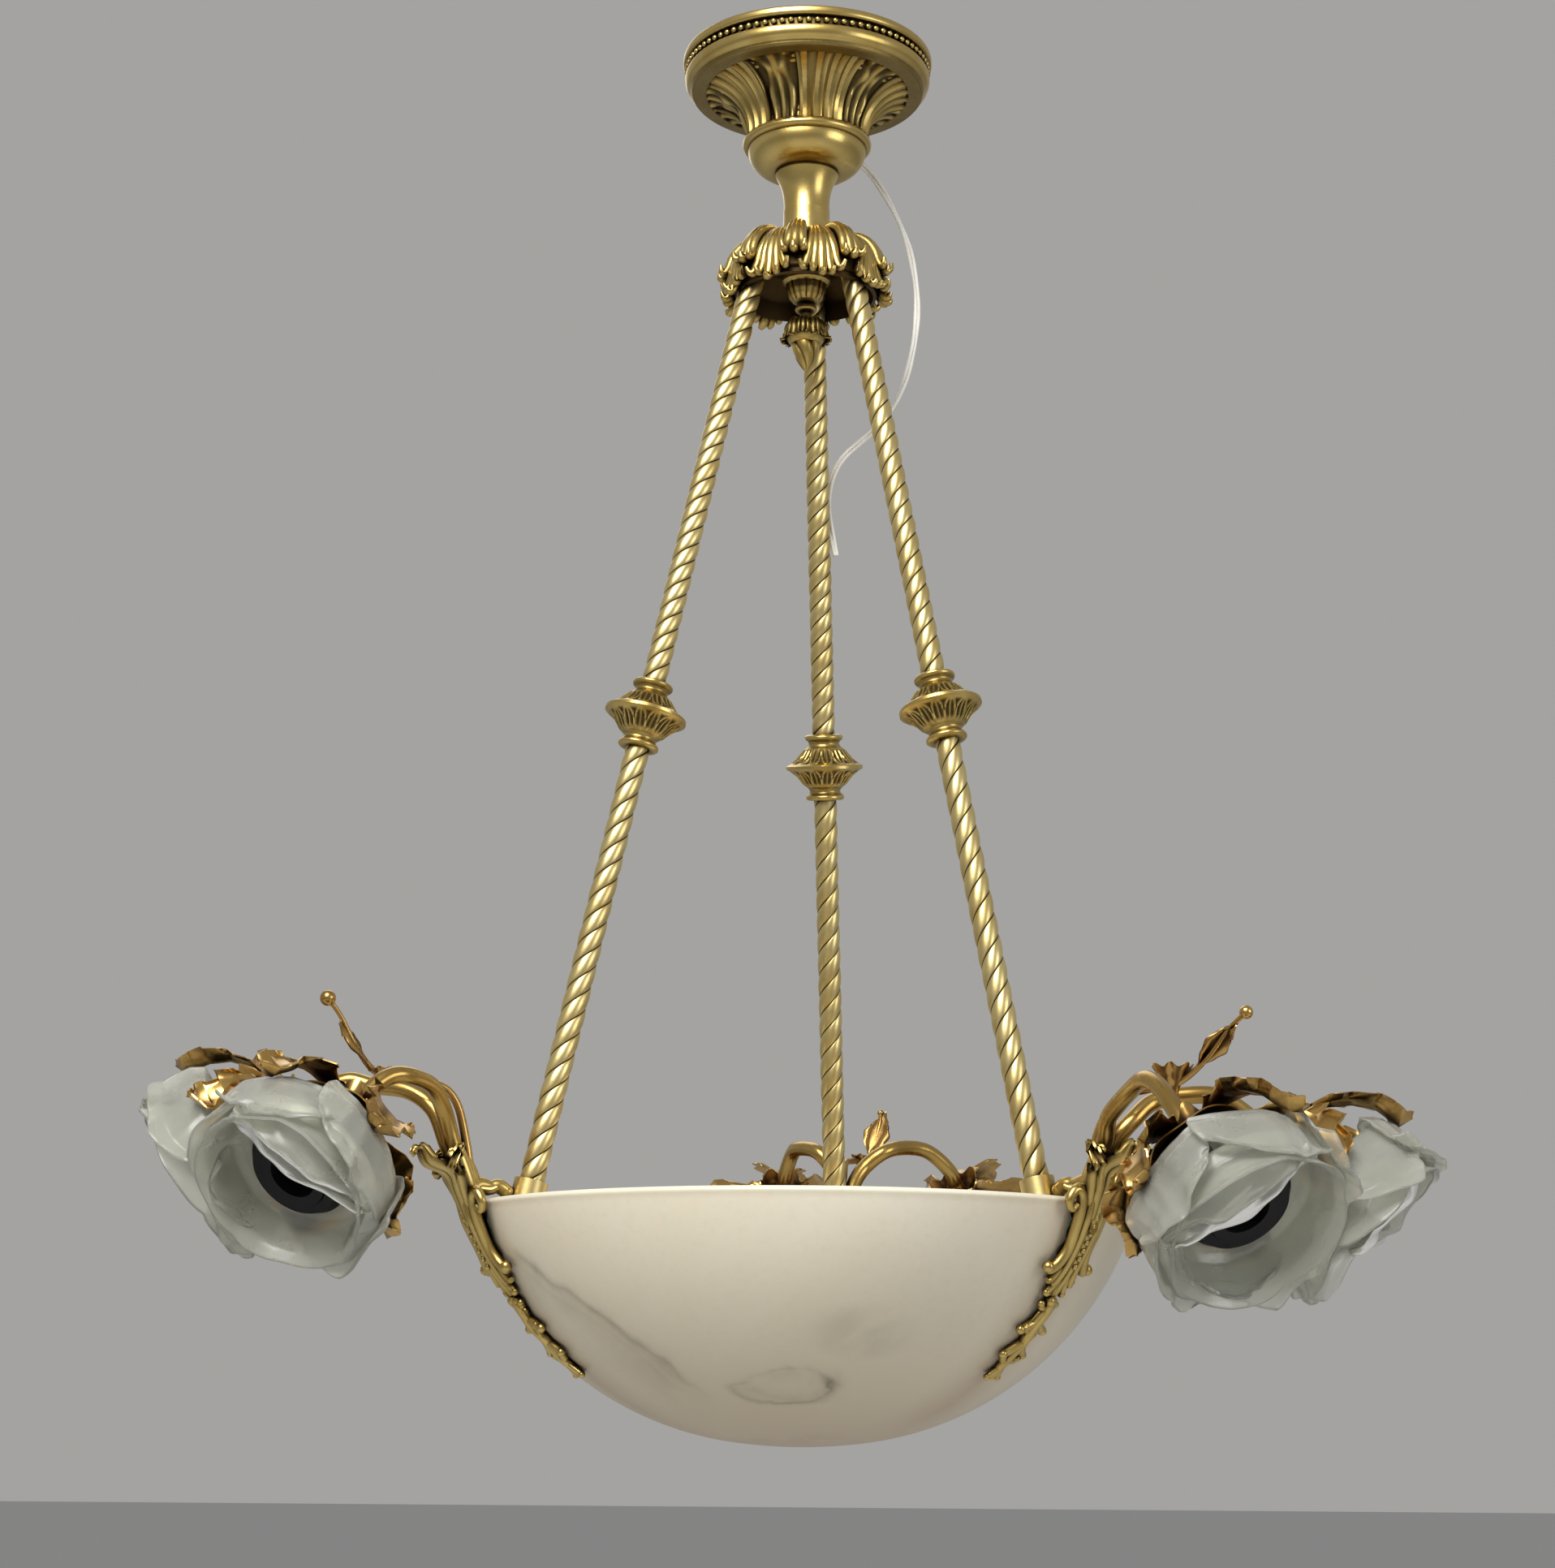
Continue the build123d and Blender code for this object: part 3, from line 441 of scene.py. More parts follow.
flex_shape = bmesh.new()
CORES_APART = 0.96
TURN_EVERY = 0.085
TURN_SWAY = pi * 0.3
for core_side in (-1, 1):
    core_line = []
    run = 0.0
    for place, where in enumerate(flex_line):
        ahead = flex_line[min(place + 1, len(flex_line) - 1)]
        behind = flex_line[max(place - 1, 0)]
        way = (ahead - behind).normalized()
        across = way.cross(Vector((0, -1, 0.35))).normalized()
        level = way.cross(across)
        turned = TURN_SWAY * sin(2 * pi * run / TURN_EVERY) + 0.1
        offset = across * cos(turned) + level * sin(turned)
        core_line.append(where + offset * CORE_RADIUS * core_side * CORES_APART)
        run += (ahead - where).length
    core_points = core_line[::2] + [core_line[-1]]
    draw(flex_shape, core_points, [CORE_RADIUS] * len(core_points), count=150, roundness=2)
bmesh.ops.remove_doubles(flex_shape, verts=flex_shape.verts, dist=1e-7)
bmesh.ops.recalc_face_normals(flex_shape, faces=flex_shape.faces)
flex_mesh = bpy.data.meshes.new("twin_flex")
flex_shape.to_mesh(flex_mesh)
flex_shape.free()
flex_mesh.shade_smooth()
flex_mesh.materials.append(white_cover.block)
twin_flex = add("twin_flex", flex_mesh)
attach(twin_flex, "canopy")
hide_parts("flex")
[tuple(where) for where in flex_line]
coat(white_cover.block, "flex_bush", "terminal_block")

# Canopy: a cast and turned shell. Two plain bands hold a row of beads, and the bell under
# them is chased with groups of flutes between acanthus leaves.
CANOPY_PERIODS = 5
FLUTES_IN_GROUP = 4
GROUP_SHARE = 0.58
BELL_CENTRE = (70.0, 686.0)
BELL_OUTSIDE = 31.0
BELL_INSIDE = 33.0
CHASED_FROM = 683.2
CHASED_TO = 716.6


def bell_point(radius, quarter):
    """A point of the bell's hollow curve: quarter 0 is its foot, and 1 its rim."""
    return Vector((BELL_CENTRE[0] - radius * cos(quarter * pi / 2),
                   BELL_CENTRE[1] + radius * sin(quarter * pi / 2)))


def canopy_relief(radius, height, angle):
    """Flutes and leaves of the bell, drawn from its foot to its rim. Its inside is plain.
    The flutes and the ground between the leaves are darkened as tarnish and painted shade, the
    flutes more towards the rim.
    """
    from_centre = (radius - BELL_CENTRE[0]) ** 2 + (height - BELL_CENTRE[1]) ** 2
    if from_centre >= 32.0 ** 2 and radius <= BELL_CENTRE[0]:
        return 0.0, 0.0, 0.0
    if not CHASED_FROM < height < CHASED_TO or radius > 74.5:
        # Painted shade under the lower band.
        return 0.0, 0.0, 0.75 if CHASED_TO <= height < 720.5 else 0.0
    climb = min(1.0, max(0.0, (radius - 39.0) / BELL_OUTSIDE))
    fade = min(1.0, (height - CHASED_FROM) / 3.0) * min(1.0, max(0.0, (71.5 - radius) / 4.0))
    share = ((degrees(angle) + 98.0) / 360.0 * CANOPY_PERIODS) % 1.0
    if share < GROUP_SHARE:
        flute = share / GROUP_SHARE * FLUTES_IN_GROUP % 1.0
        depth = 0.5 - 2.9 * abs(sin(pi * flute)) ** 0.8
        dark = abs(sin(pi * flute)) ** 1.4 * (0.35 + 0.75 * climb) + 0.25 * climb
    else:
        across = (share - GROUP_SHARE) / (1 - GROUP_SHARE) * 2 - 1
        rib = exp(-(across / 0.14) ** 2)
        wing = abs(across) - 0.46 - 0.16 * sin(9.0 * climb + 0.6)
        curl = exp(-(wing / 0.17) ** 2) * (0.62 + 0.38 * sin(17.0 * climb))
        depth = 1.8 * rib + 2.6 * curl - 2.0
        dark = 1.1 - 1.3 * max(rib, curl)
    lean = climb * pi / 2
    return depth * fade * cos(lean), -depth * fade * sin(lean), dark * fade


canopy_profile = divided([
    (74.0, 723.0), (74.0, 733.0), (76.0, 738.0), (76.0, 741.0), (79.0, 741.0), (80.0, 740.6),
    (80.4, 739.6), (80.4, 736.8), (79.9, 735.8), (79.0, 735.4), (76.0, 735.0), (76.0, 729.5),
    (78.6, 729.1), (79.2, 727.6), (79.0, 725.0), (78.0, 722.6), (76.0, 720.9), (75.2, 720.0),
    (74.9, 718.2), (74.0, 717.2), (72.0, 717.0),
], 1.2)
canopy_profile += [bell_point(BELL_OUTSIDE, 1 - k / 44) for k in range(45)]
canopy_profile += divided([
    (39.0, 685.6), (40.4, 685.2), (41.2, 684.0), (41.5, 682.4), (41.2, 680.8), (40.2, 679.7),
    (38.6, 679.2), (36.4, 679.2), (36.2, 682.0), (37.0, 686.0),
], 0.9)
canopy_profile += [bell_point(BELL_INSIDE, k / 12) for k in range(1, 13)]
canopy_profile += divided([(70.0, 719.0), (72.5, 719.5), (74.0, 723.0)], 2.0)
canopy_shape = bmesh.new()
turn(canopy_shape, canopy_profile, 300)
carve(canopy_shape, canopy_relief)
piece(canopy_shape, "chased_canopy", gilt, ["canopy"], body="canopy", crisp=50.0)
coat(gilt, "canopy_beads", "canopy_cup", "stem", "centre_tube", "hanging_loop", "tube_nuts")

# Crown: a cast wreath of acanthus over a turned base. An upper row of leaves rolls outwards
# over the top, and a lower row hangs over the edge between them. Each leaf is a fan of plump
# lobes with curled ends. The crown is hollow underneath, lined in dark dull brass as painted
# shade, and its turned base is darkened all over as painted shade where it shows between leaves.
CROWN_LEAVES = 9
LOBE_RADII = (1.8, 2.8, 3.3, 3.4, 3.2, 2.8, 2.1, 1.1)
# A dark lining for the hollow under the crown, as painted shade.
hollow_shape = bmesh.new()
turn(hollow_shape, divided([
    (5.3, 604.0), (5.3, 612.0), (30.0, 609.0), (40.0, 602.0), (45.0, 590.0), (45.0, 579.0),
    (42.8, 578.0), (42.0, 592.0), (33.0, 602.0), (5.3, 604.0),
], 3.0), 96)
piece(hollow_shape, "crown_hollow", unpolished_and_shaded, crisp=50.0)


def acanthus(azimuth, course, spread, lobes, cut, depth):
    """One leaf round the axis: its course runs in (radius, height), its spread in mm.
    Its end is cut into rounded lobes, and a furrow runs up the leaf between each two."""
    line = flowing([(radius, 0, height) for radius, height in course], 25)
    widths = flowing([(width, 0, 0) for width in spread], 25)

    def place(u, v):
        lobe = abs(cos(lobes * pi * u / 2)) ** 0.7
        run = v * (1 - cut * (1 - lobe) - 0.10 * u * u) * 24
        first = min(int(run), 23)
        where = line[first].lerp(line[first + 1], run - first)
        way = (line[first + 1] - line[first]).normalized()
        up = Vector((-way.z, 0, way.x))
        width = widths[first].lerp(widths[first + 1], run - first).x
        lift = 1.4 * (1 - u * u) + depth * (lobe - 1) * min(1.0, 0.25 + v * 1.5)
        radius = where.x + up.x * lift
        angle = radians(azimuth) + u * width / max(radius, 9.0)
        return Vector((radius * cos(angle), radius * sin(angle), where.z + up.z * lift))

    return place


def furrowed(lobes):
    """How dark a lobed leaf is, as tarnish and painted shade: darkest in its furrows, and clean at
    its rolled end.
    """
    return lambda u, v: ((1 - abs(cos(lobes * pi * u / 2)) ** 0.6) * 1.3 + 0.35 * (v < 0.72) * v
                         - 0.1) * min(1.0, (1.05 - v) * 6.0)


crown_shape = bmesh.new()
turn(crown_shape, divided([
    (18.0, 615.6), (31.0, 614.2), (41.4, 607.4), (46.6, 596.0), (47.4, 583.0), (45.6, 582.0),
    (44.4, 594.0), (39.0, 603.0), (30.0, 608.6), (18.0, 610.0), (18.0, 615.6),
], 3.0), 96)
# The turned base shows between the leaves and is darkened all over as painted shade.
carve(crown_shape, lambda radius, height, angle: (0.0, 0.0, 0.9))
CROWN_ROWS = [
    ([(22.0, 612.5), (34.0, 611.0), (42.4, 603.5), (47.0, 593.5), (48.2, 585.0),
      (50.0, 578.0), (52.6, 575.4), (54.4, 577.6)], 0.0, 3.4, 5),
    ([(19.0, 616.0), (31.0, 616.0), (41.0, 610.6), (47.0, 602.0), (49.4, 595.0),
      (52.4, 590.6), (54.8, 590.4), (55.4, 593.6)], 0.5, 2.8, 3),
]
for number in range(CROWN_LEAVES):
    for course, turned_by, reach, lobes in CROWN_ROWS:
        middle = AZIMUTHS["rear"] + 360.0 / CROWN_LEAVES * (number + turned_by)
        sway = 2.2 * sin(number * 2.4 + turned_by * 5)
        for lobe in range(lobes):
            beside = lobe - (lobes - 1) / 2
            fan = []
            for k, (radius, height) in enumerate(course):
                share = k / (len(course) - 1)
                angle = radians(middle + beside * (1.2 + 6.6 * share ** 0.8) + sway * share)
                shorter = abs(beside) * reach * share ** 2
                shorter += 1.2 * sin(lobe * 4.1 + number) * share
                fan.append((radius * cos(angle), radius * sin(angle), height + shorter))
            thick = 1.0 if beside else 1.18
            draw(crown_shape, fan, [width * thick for width in LOBE_RADII], 22)
piece(crown_shape, "acanthus_crown", gilt, ["crown"], crisp=50.0)

# Cup and finial on the crown's axis: a fluted cup with a ball below it, then a small
# leaf cap over a spirally fluted bud.
cup_shape = bmesh.new()
turn(cup_shape, divided([
    (5.3, 588.0), (5.3, 597.5), (11.0, 597.5), (14.6, 594.5), (15.6, 591.0), (15.4, 588.4),
    (13.4, 586.6), (12.6, 582.0), (11.0, 578.0), (8.8, 575.6), (6.0, 574.2), (0.0, 574.2),
], 1.0), 72)
# The flutes are darkened as patina and painted shade.
carve(cup_shape, lambda radius, height, angle: (
    (0.9 * abs(sin(angle * 8)) - 0.9, 0.0, 1.2 - 1.6 * abs(sin(angle * 8)))
    if 576.0 < height < 587.0 and radius > 8 else (0.0, 0.0, 0.3)))
piece(cup_shape, "fluted_cup", gilt, ["crown_cup"])

finial_shape = bmesh.new()
turn(finial_shape, [
    Vector((7.1 * sin(k / 14 * pi), 567.2 + 7.0 * (1 + cos(k / 14 * pi)) * 0.48))
    for k in range(15)], 40)
turn(finial_shape, divided([
    (0.0, 569.0), (3.0, 568.0), (3.0, 561.5), (6.0, 561.0), (11.0, 559.0), (13.2, 556.0),
    (13.0, 551.5), (10.5, 548.0), (9.0, 547.0), (0.0, 547.0)], 1.5), 48)
BUD_RADIUS = 9.2
bud_shape = bmesh.new()
turn(bud_shape, [Vector((BUD_RADIUS * cos(k / 24 * pi / 2) ** 0.8 if k < 24 else 0.0,
                         547.6 - 19.0 * (k / 24) ** 1.05)) for k in range(25)], 90)


def spiral_flutes(radius, height, angle):
    """Flutes that turn round the bud on their way to its tip, darkened in their hollows as tarnish
    and painted shade.
    """
    ridge = abs(sin(angle * 2.5 - (548.0 - height) * 0.16))
    return -1.1 * (radius / BUD_RADIUS) * (1 - ridge) ** 1.5, 0.0, 1.0 - 1.6 * ridge


carve(bud_shape, spiral_flutes)
bud_mesh = bpy.data.meshes.new("bud")
bud_shape.to_mesh(bud_mesh)
bud_shape.free()
finial_shape.from_mesh(bud_mesh)
CAP_LEAVES = 8
for number in range(CAP_LEAVES):
    press(finial_shape, acanthus(AZIMUTHS["rear"] + 360.0 / CAP_LEAVES * number, [
        (5.0, 562.0), (9.5, 562.4), (12.4, 558.8), (13.2, 554.0), (14.4, 550.4), (16.4, 549.6),
        (16.8, 552.0)],
        [1.6, 3.6, 5.0, 5.8, 5.6, 4.8, 3.6], 3, 0.2, 1.0), 18, 20, 0.7, furrowed(3))
piece(finial_shape, "leaf_finial", gilt, ["finial"], crisp=50.0)

# Rods: thick brass rod with three broad rope-like strands, turned right-handed. The upper
# rods are turned a little tighter than the lower ones. Their gilt is a paler copy, as painted
# light.
ROD_SLOPE = 0.2295
KNOP_HEIGHT = 294.3
KNOP_FROM_AXIS = 103.4
KNOP_HALF = 21.5
STRANDS = 3
rod_lean = sqrt(1 + ROD_SLOPE ** 2)


def level_way(azimuth):
    return Vector((cos(radians(azimuth)), sin(radians(azimuth)), 0))


def rod_place(azimuth):
    """Stand a shape on a rod's line: the knop's centre is its zero, and up is up the rod."""
    up = (Vector((0, 0, 1)) - level_way(azimuth) * ROD_SLOPE).normalized()
    centre = level_way(azimuth) * KNOP_FROM_AXIS + Vector((0, 0, KNOP_HEIGHT))
    side = Vector((-sin(radians(azimuth)), cos(radians(azimuth)), 0))
    out = side.cross(up)
    turned = Matrix((out, side, up)).transposed().to_4x4()
    return to_frame @ Matrix.Translation(centre) @ turned


def twisted_rod(azimuth, low, high, lead, name, node):
    """Draw a lobed section up the rod with a steady turn, one full turn in each lead."""
    shape = bmesh.new()
    depths = recess_of(shape)
    section = bmesh.ops.create_circle(shape, segments=72, radius=7.5, cap_ends=False)
    for vert in section["verts"]:
        lobe = abs(sin(atan2(vert.co.y, vert.co.x) * STRANDS / 2))
        vert.co *= (6.2 + 1.3 * lobe ** 0.5) / 7.5
        vert.co.z = low
        # The grooves between strands are darkened as patina and painted shade.
        vert[depths] = max(0.0, 1.0 - lobe / 0.26)
    length = high - low
    steps = round(length / lead * 32)
    edges = list({edge for vert in section["verts"] for edge in vert.link_edges})
    bmesh.ops.spin(shape, geom=section["verts"] + edges, cent=(0, 0, 0), axis=(0, 0, 1),
                   dvec=(0, 0, length / steps), angle=2 * pi * length / lead,
                   steps=steps, use_merge=False, use_duplicate=False)
    open_edges = [edge for edge in shape.edges if edge.is_boundary]
    bmesh.ops.holes_fill(shape, edges=open_edges, sides=0)
    piece(shape, name, lit_gilt_rod, [node], crisp=62.0, place=rod_place(azimuth))


ROD_TOP = 596.0
ROD_BOTTOM = 4.0
for side_name, azimuth in AZIMUTHS.items():
    twisted_rod(azimuth, KNOP_HALF, (ROD_TOP - KNOP_HEIGHT) * rod_lean, 34.5,
                f"twisted_upper_rod_{side_name}", f"upper_rod_{side_name}")
    twisted_rod(azimuth, (ROD_BOTTOM - KNOP_HEIGHT) * rod_lean, -KNOP_HALF, 41.0,
                f"twisted_lower_rod_{side_name}", f"lower_rod_{side_name}")

# Knops: a turned double cone halfway up each rod, with a thin flange round its middle
# and a row of chased tongues above and below it.
KNOP_TONGUES = 14


def knop_relief(radius, height, angle):
    """Tongues on both cones, pointed towards the flange, with the ground between them darkened as
    tarnish and painted shade.
    """
    if not 12.0 < radius < 23.4 or not 1.9 < abs(height) < 12.4:
        return 0.0, 0.0, 0.15
    share = (angle / (2 * pi) * KNOP_TONGUES) % 1.0 * 2 - 1
    climb = (12.4 - abs(height)) / 10.5
    edge = 0.80 * (1 - climb ** 4) + 0.10
    ridge = exp(-((abs(share) - edge) / 0.17) ** 2)
    vein = exp(-(share / 0.15) ** 2)
    fade = min(1.0, climb * 5.0) * min(1.0, (1 - climb) * 7.0)
    lift = (1.0 * ridge + 0.8 * vein - 0.6) * fade
    dark = (1.1 - 1.5 * max(ridge, vein)) * fade
    return lift * 0.55, lift * 0.8 * (1 if height > 0 else -1), dark


knop_half = divided([
    (25.0, 0.0), (25.0, 0.9), (24.2, 1.5), (22.6, 2.2), (20.4, 3.6), (18.0, 5.6), (16.0, 8.0),
    (14.2, 10.6), (12.2, 12.4), (10.6, 13.8), (9.8, 15.4), (10.4, 17.0), (11.8, 18.0),
    (12.4, 19.0), (12.4, 20.2), (11.6, 21.0), (9.8, 21.5), (0.0, 21.5),
], 0.75)
for side_name, azimuth in AZIMUTHS.items():
    knop_shape = bmesh.new()
    outline = [Vector((x, -y)) for x, y in reversed(knop_half)] + knop_half[1:]
    turn(knop_shape, outline, 168)
    carve(knop_shape, knop_relief)
    piece(knop_shape, f"chased_knop_{side_name}", gilt, [f"knop_{side_name}"], crisp=50.0,
          place=rod_place(azimuth))
coat(gilt, "rim_bolts", "rim_nuts", "holder_strips")
coat(lit_gilt_rod, "rod_feet")

# Bowl: turned from one block of alabaster, cream with grey-brown veins. It is darker near the
# brackets, and painted shade darkens it towards the bottom.
alabaster = new_finish("alabaster")
stone_parts = alabaster.node("ShaderNodeSeparateXYZ", {}, {"Vector": alabaster.place()})
stone_x, stone_y, stone_z = [Value(alabaster.tree, stone_parts.socket.node.outputs[axis])
                             for axis in "XYZ"]
drift = alabaster.cloud(4.2, 5.0, 0.8)
mottle = alabaster.cloud(26.0, 6.0, 0.6)
grain = alabaster.cloud(210.0, 4.0)
depth = ((stone_z + 0.721) * (-1.0 / 0.138)).held()
body_colour = alabaster.blend((drift * 1.9 - 0.5).held(), (0.93, 0.885, 0.745, 1),
                              (0.84, 0.755, 0.57, 1))
# Painted shade: the stone darkens towards the bottom.
body_colour = alabaster.blend((depth ** 1.7 * 0.78).held(), body_colour,
                              (0.42, 0.30, 0.175, 1))


def vein(centre, width, strength, warp, wander=24.0):
    """A dark vein where a warped plane through the stone comes near zero."""
    bend = alabaster.cloud(wander, 5.0, 0.4)
    distance = abs(centre + (bend - 0.5) * warp)
    return (1.0 - distance * (1.0 / width)).held() ** 2.0 * strength


crossing = stone_x * 0.575 + stone_z * 0.82 + 0.7102
crossing_part = ((stone_x + 0.172) * 45.0).held() * ((stone_x + 0.046) * -26.0).held()
ring_line = ((stone_x + 0.008) ** 2.0 + (stone_z + 0.825) ** 2.0 * 8.3) ** 0.5 - 0.026
smoke = 1.0 - ((stone_x - 0.032) ** 2.0 * 0.22 + (stone_z + 0.796) ** 2.0) ** 0.5 * 62.0
bottom_marks = vein(stone_z + 0.854, 0.005, 0.7, 0.014)
bottom_part = (1.0 - abs(stone_x + 0.008) * 20.0).held()
patches = (mottle * 2.4 - 0.95).held()
front_only = (stone_y * -30.0).held()
crossing_veins = vein(crossing, 0.0042, 0.85, 0.012) + vein(crossing + 0.005, 0.019, 0.55, 0.020)
ring_veins = (vein(ring_line, 0.0075, 1.0, 0.030, 34.0)
              + vein(ring_line + 0.008, 0.022, 0.5, 0.036, 30.0))
dark = (crossing_veins * crossing_part * (0.45 + 0.55 * patches)
        + (ring_veins + smoke.held() * 0.6 + bottom_marks * bottom_part)
        * (0.1 + 0.9 * patches) * front_only).held()
veined = alabaster.blend(dark, body_colour, (0.235, 0.195, 0.125, 1))
veined = alabaster.blend(((grain - 0.5) * 0.4).held(), veined, (0.60, 0.50, 0.38, 1))
# Darker in a band down the stone at each bracket.
for side_name, azimuth in AZIMUTHS.items():
    along = stone_x * cos(radians(azimuth)) + stone_y * sin(radians(azimuth))
    beside = stone_y * cos(radians(azimuth)) - stone_x * sin(radians(azimuth))
    near = (1.0 - abs(beside) * (1 / 0.036)).held() ** 1.4 * (along * 20.0 - 1.0).held()
    veined = alabaster.blend((near * 0.55).held(), veined, (0.42, 0.30, 0.19, 1))
alabaster.surface({
    "Base Color": veined, "Roughness": (0.34 + (mottle - 0.5) * 0.12).held(),
    "Subsurface Weight": 0.25, "Subsurface Radius": (0.9, 0.6, 0.35), "Subsurface Scale": 0.008,
    "Normal": alabaster.node("ShaderNodeBump", {}, {
        "Strength": 0.05, "Distance": 0.0006, "Height": mottle + grain * 0.3})})
BOWL_SIDE = 195.0
BOWL_CENTRE = (14.0, 58.3)
BOWL_BASE = 294.0
base_height = BOWL_CENTRE[1] + sqrt((BOWL_BASE - BOWL_SIDE) ** 2 - BOWL_CENTRE[0] ** 2)
arcs_meet = atan2(BOWL_CENTRE[1] - base_height, BOWL_CENTRE[0])


def bowl_section(offset, parts):
    """The section from the middle of the bottom up to the rim."""
    top = atan2(-BOWL_CENTRE[1], sqrt((BOWL_SIDE + offset) ** 2 - BOWL_CENTRE[1] ** 2))
    line = []
    for k in range(6):
        angle = -pi / 2 + (arcs_meet + pi / 2) * k / 6
        line.append(Vector((cos(angle), sin(angle))) * (BOWL_BASE + offset)
                    + Vector((0, base_height)))
    for k in range(parts + 1):
        angle = arcs_meet + (top - arcs_meet) * k / parts
        line.append(Vector((cos(angle), sin(angle))) * (BOWL_SIDE + offset)
                    + Vector(BOWL_CENTRE))
    return line


outside = bowl_section(0.0, 60)
inside = bowl_section(-10.0, 60)
RIM_ROUND = 2.6
RIM_INSET = RIM_ROUND + 0.4
RIM_FROM = -3.2
rim = []
for centre_x, quarter in ((outside[-1].x - RIM_INSET, 0), (inside[-1].x + RIM_INSET, 1)):
    for k in range(7):
        angle = (quarter + k / 6) * pi / 2
        rim.append(Vector((centre_x + RIM_ROUND * cos(angle), RIM_ROUND * (sin(angle) - 1))))
bowl_outline = ([point for point in outside if point.y < RIM_FROM] + rim
                + [point for point in reversed(inside) if point.y < RIM_FROM])
bowl_outline[0].x = 0.0
bowl_outline[-1].x = 0.0
bowl_shape = bmesh.new()
turn(bowl_shape, bowl_outline, 180)
piece(bowl_shape, "alabaster_bowl", alabaster.block, ["bowl"], crisp=60.0)

# Pads: green felt between the metal and the stone.
felt = new_finish("felt")
felt_fibre = felt.cloud(900.0, 2.0)
coat(felt.surface({
    "Base Color": felt.blend(felt_fibre, (0.05, 0.08, 0.05, 1), (0.12, 0.17, 0.11, 1)),
    "Roughness": (0.8 + felt_fibre * 0.2).held()}), "bowl_pads")

# Brackets: castings that hug the bowl. A ribbed leaf with a row of pearls runs down the
# middle, scrolls curl at its shoulders, leafy feet flick out below, and a claw holds the rim.


CASTINGS_SHORTER = 0.87


def on_bowl(azimuth, side, height, lift):
    """A point on the bowl's outside, moved sideways and lifted off the stone. The castings
    are drawn a little taller than they are, so heights below the rim are shortened."""
    height *= CASTINGS_SHORTER if height < 0 else 1.0
    reach = BOWL_CENTRE[0] + sqrt(BOWL_SIDE ** 2 - (BOWL_CENTRE[1] - height) ** 2)
    out, rise = (reach - BOWL_CENTRE[0]) / BOWL_SIDE, (height - BOWL_CENTRE[1]) / BOWL_SIDE
    radius = reach + lift * out
    angle = radians(azimuth) + side / radius
    return Vector((radius * cos(angle), radius * sin(angle), height + lift * rise))


def at_branch(azimuth, out, side, height):
    """A point given by its distances from the axis and sideways, and its height."""
    level = level_way(azimuth)
    return Vector((level.x * out - level.y * side, level.y * out + level.x * side, height))


def line_on_bowl(azimuth, points, mirror=1):
    return [on_bowl(azimuth, mirror * side, height, lift) for side, height, lift in points]


def branch_line(azimuth, points, mirror=1):
    return [at_branch(azimuth, out, mirror * side, height) for out, side, height in points]


def sideways_of(azimuth):
    level = level_way(azimuth)
    return Vector((-level.y, level.x, 0))


def along_list(values, v):
    """A value read along a list, smoothly."""
    run = v * (len(values) - 1)
    first = min(int(run), len(values) - 2)
    part = run - first
    part = part * part * (3 - 2 * part)
    return values[first] * (1 - part) + values[first + 1] * part


def lobed_leaf(course, widths, across_way, lobes, cut, depth, cup, twist=0.0):
    """A leaf along a smooth course, given in points. Its end is cut into lobes, and it may
    be cupped or twisted about its own line."""
    line = flowing(course, 33)

    def place(u, v):
        lobe = abs(cos(lobes * pi * u / 2)) ** 0.7
        run = v * (1 - cut * (1 - lobe) * v - 0.12 * u * u) * 32
        first = min(int(run), 31)
        where = line[first].lerp(line[first + 1], run - first)
        way = (line[first + 1] - line[first]).normalized()
        across = (across_way - way * across_way.dot(way)).normalized()
        up = across.cross(way)
        turned = twist * v
        flat = across * cos(turned) + up * sin(turned)
        above = up * cos(turned) - across * sin(turned)
        return (where + flat * (u * along_list(widths, v))
                + above * (cup * abs(u) ** 1.6 + depth * (lobe - 1) * min(1.0, v * 3.0)))

    return place


BRACKET_WIDTHS = [8.0, 11.0, 10.5, 9.0, 8.4, 10.0, 11.0, 9.6, 7.0, 4.0]
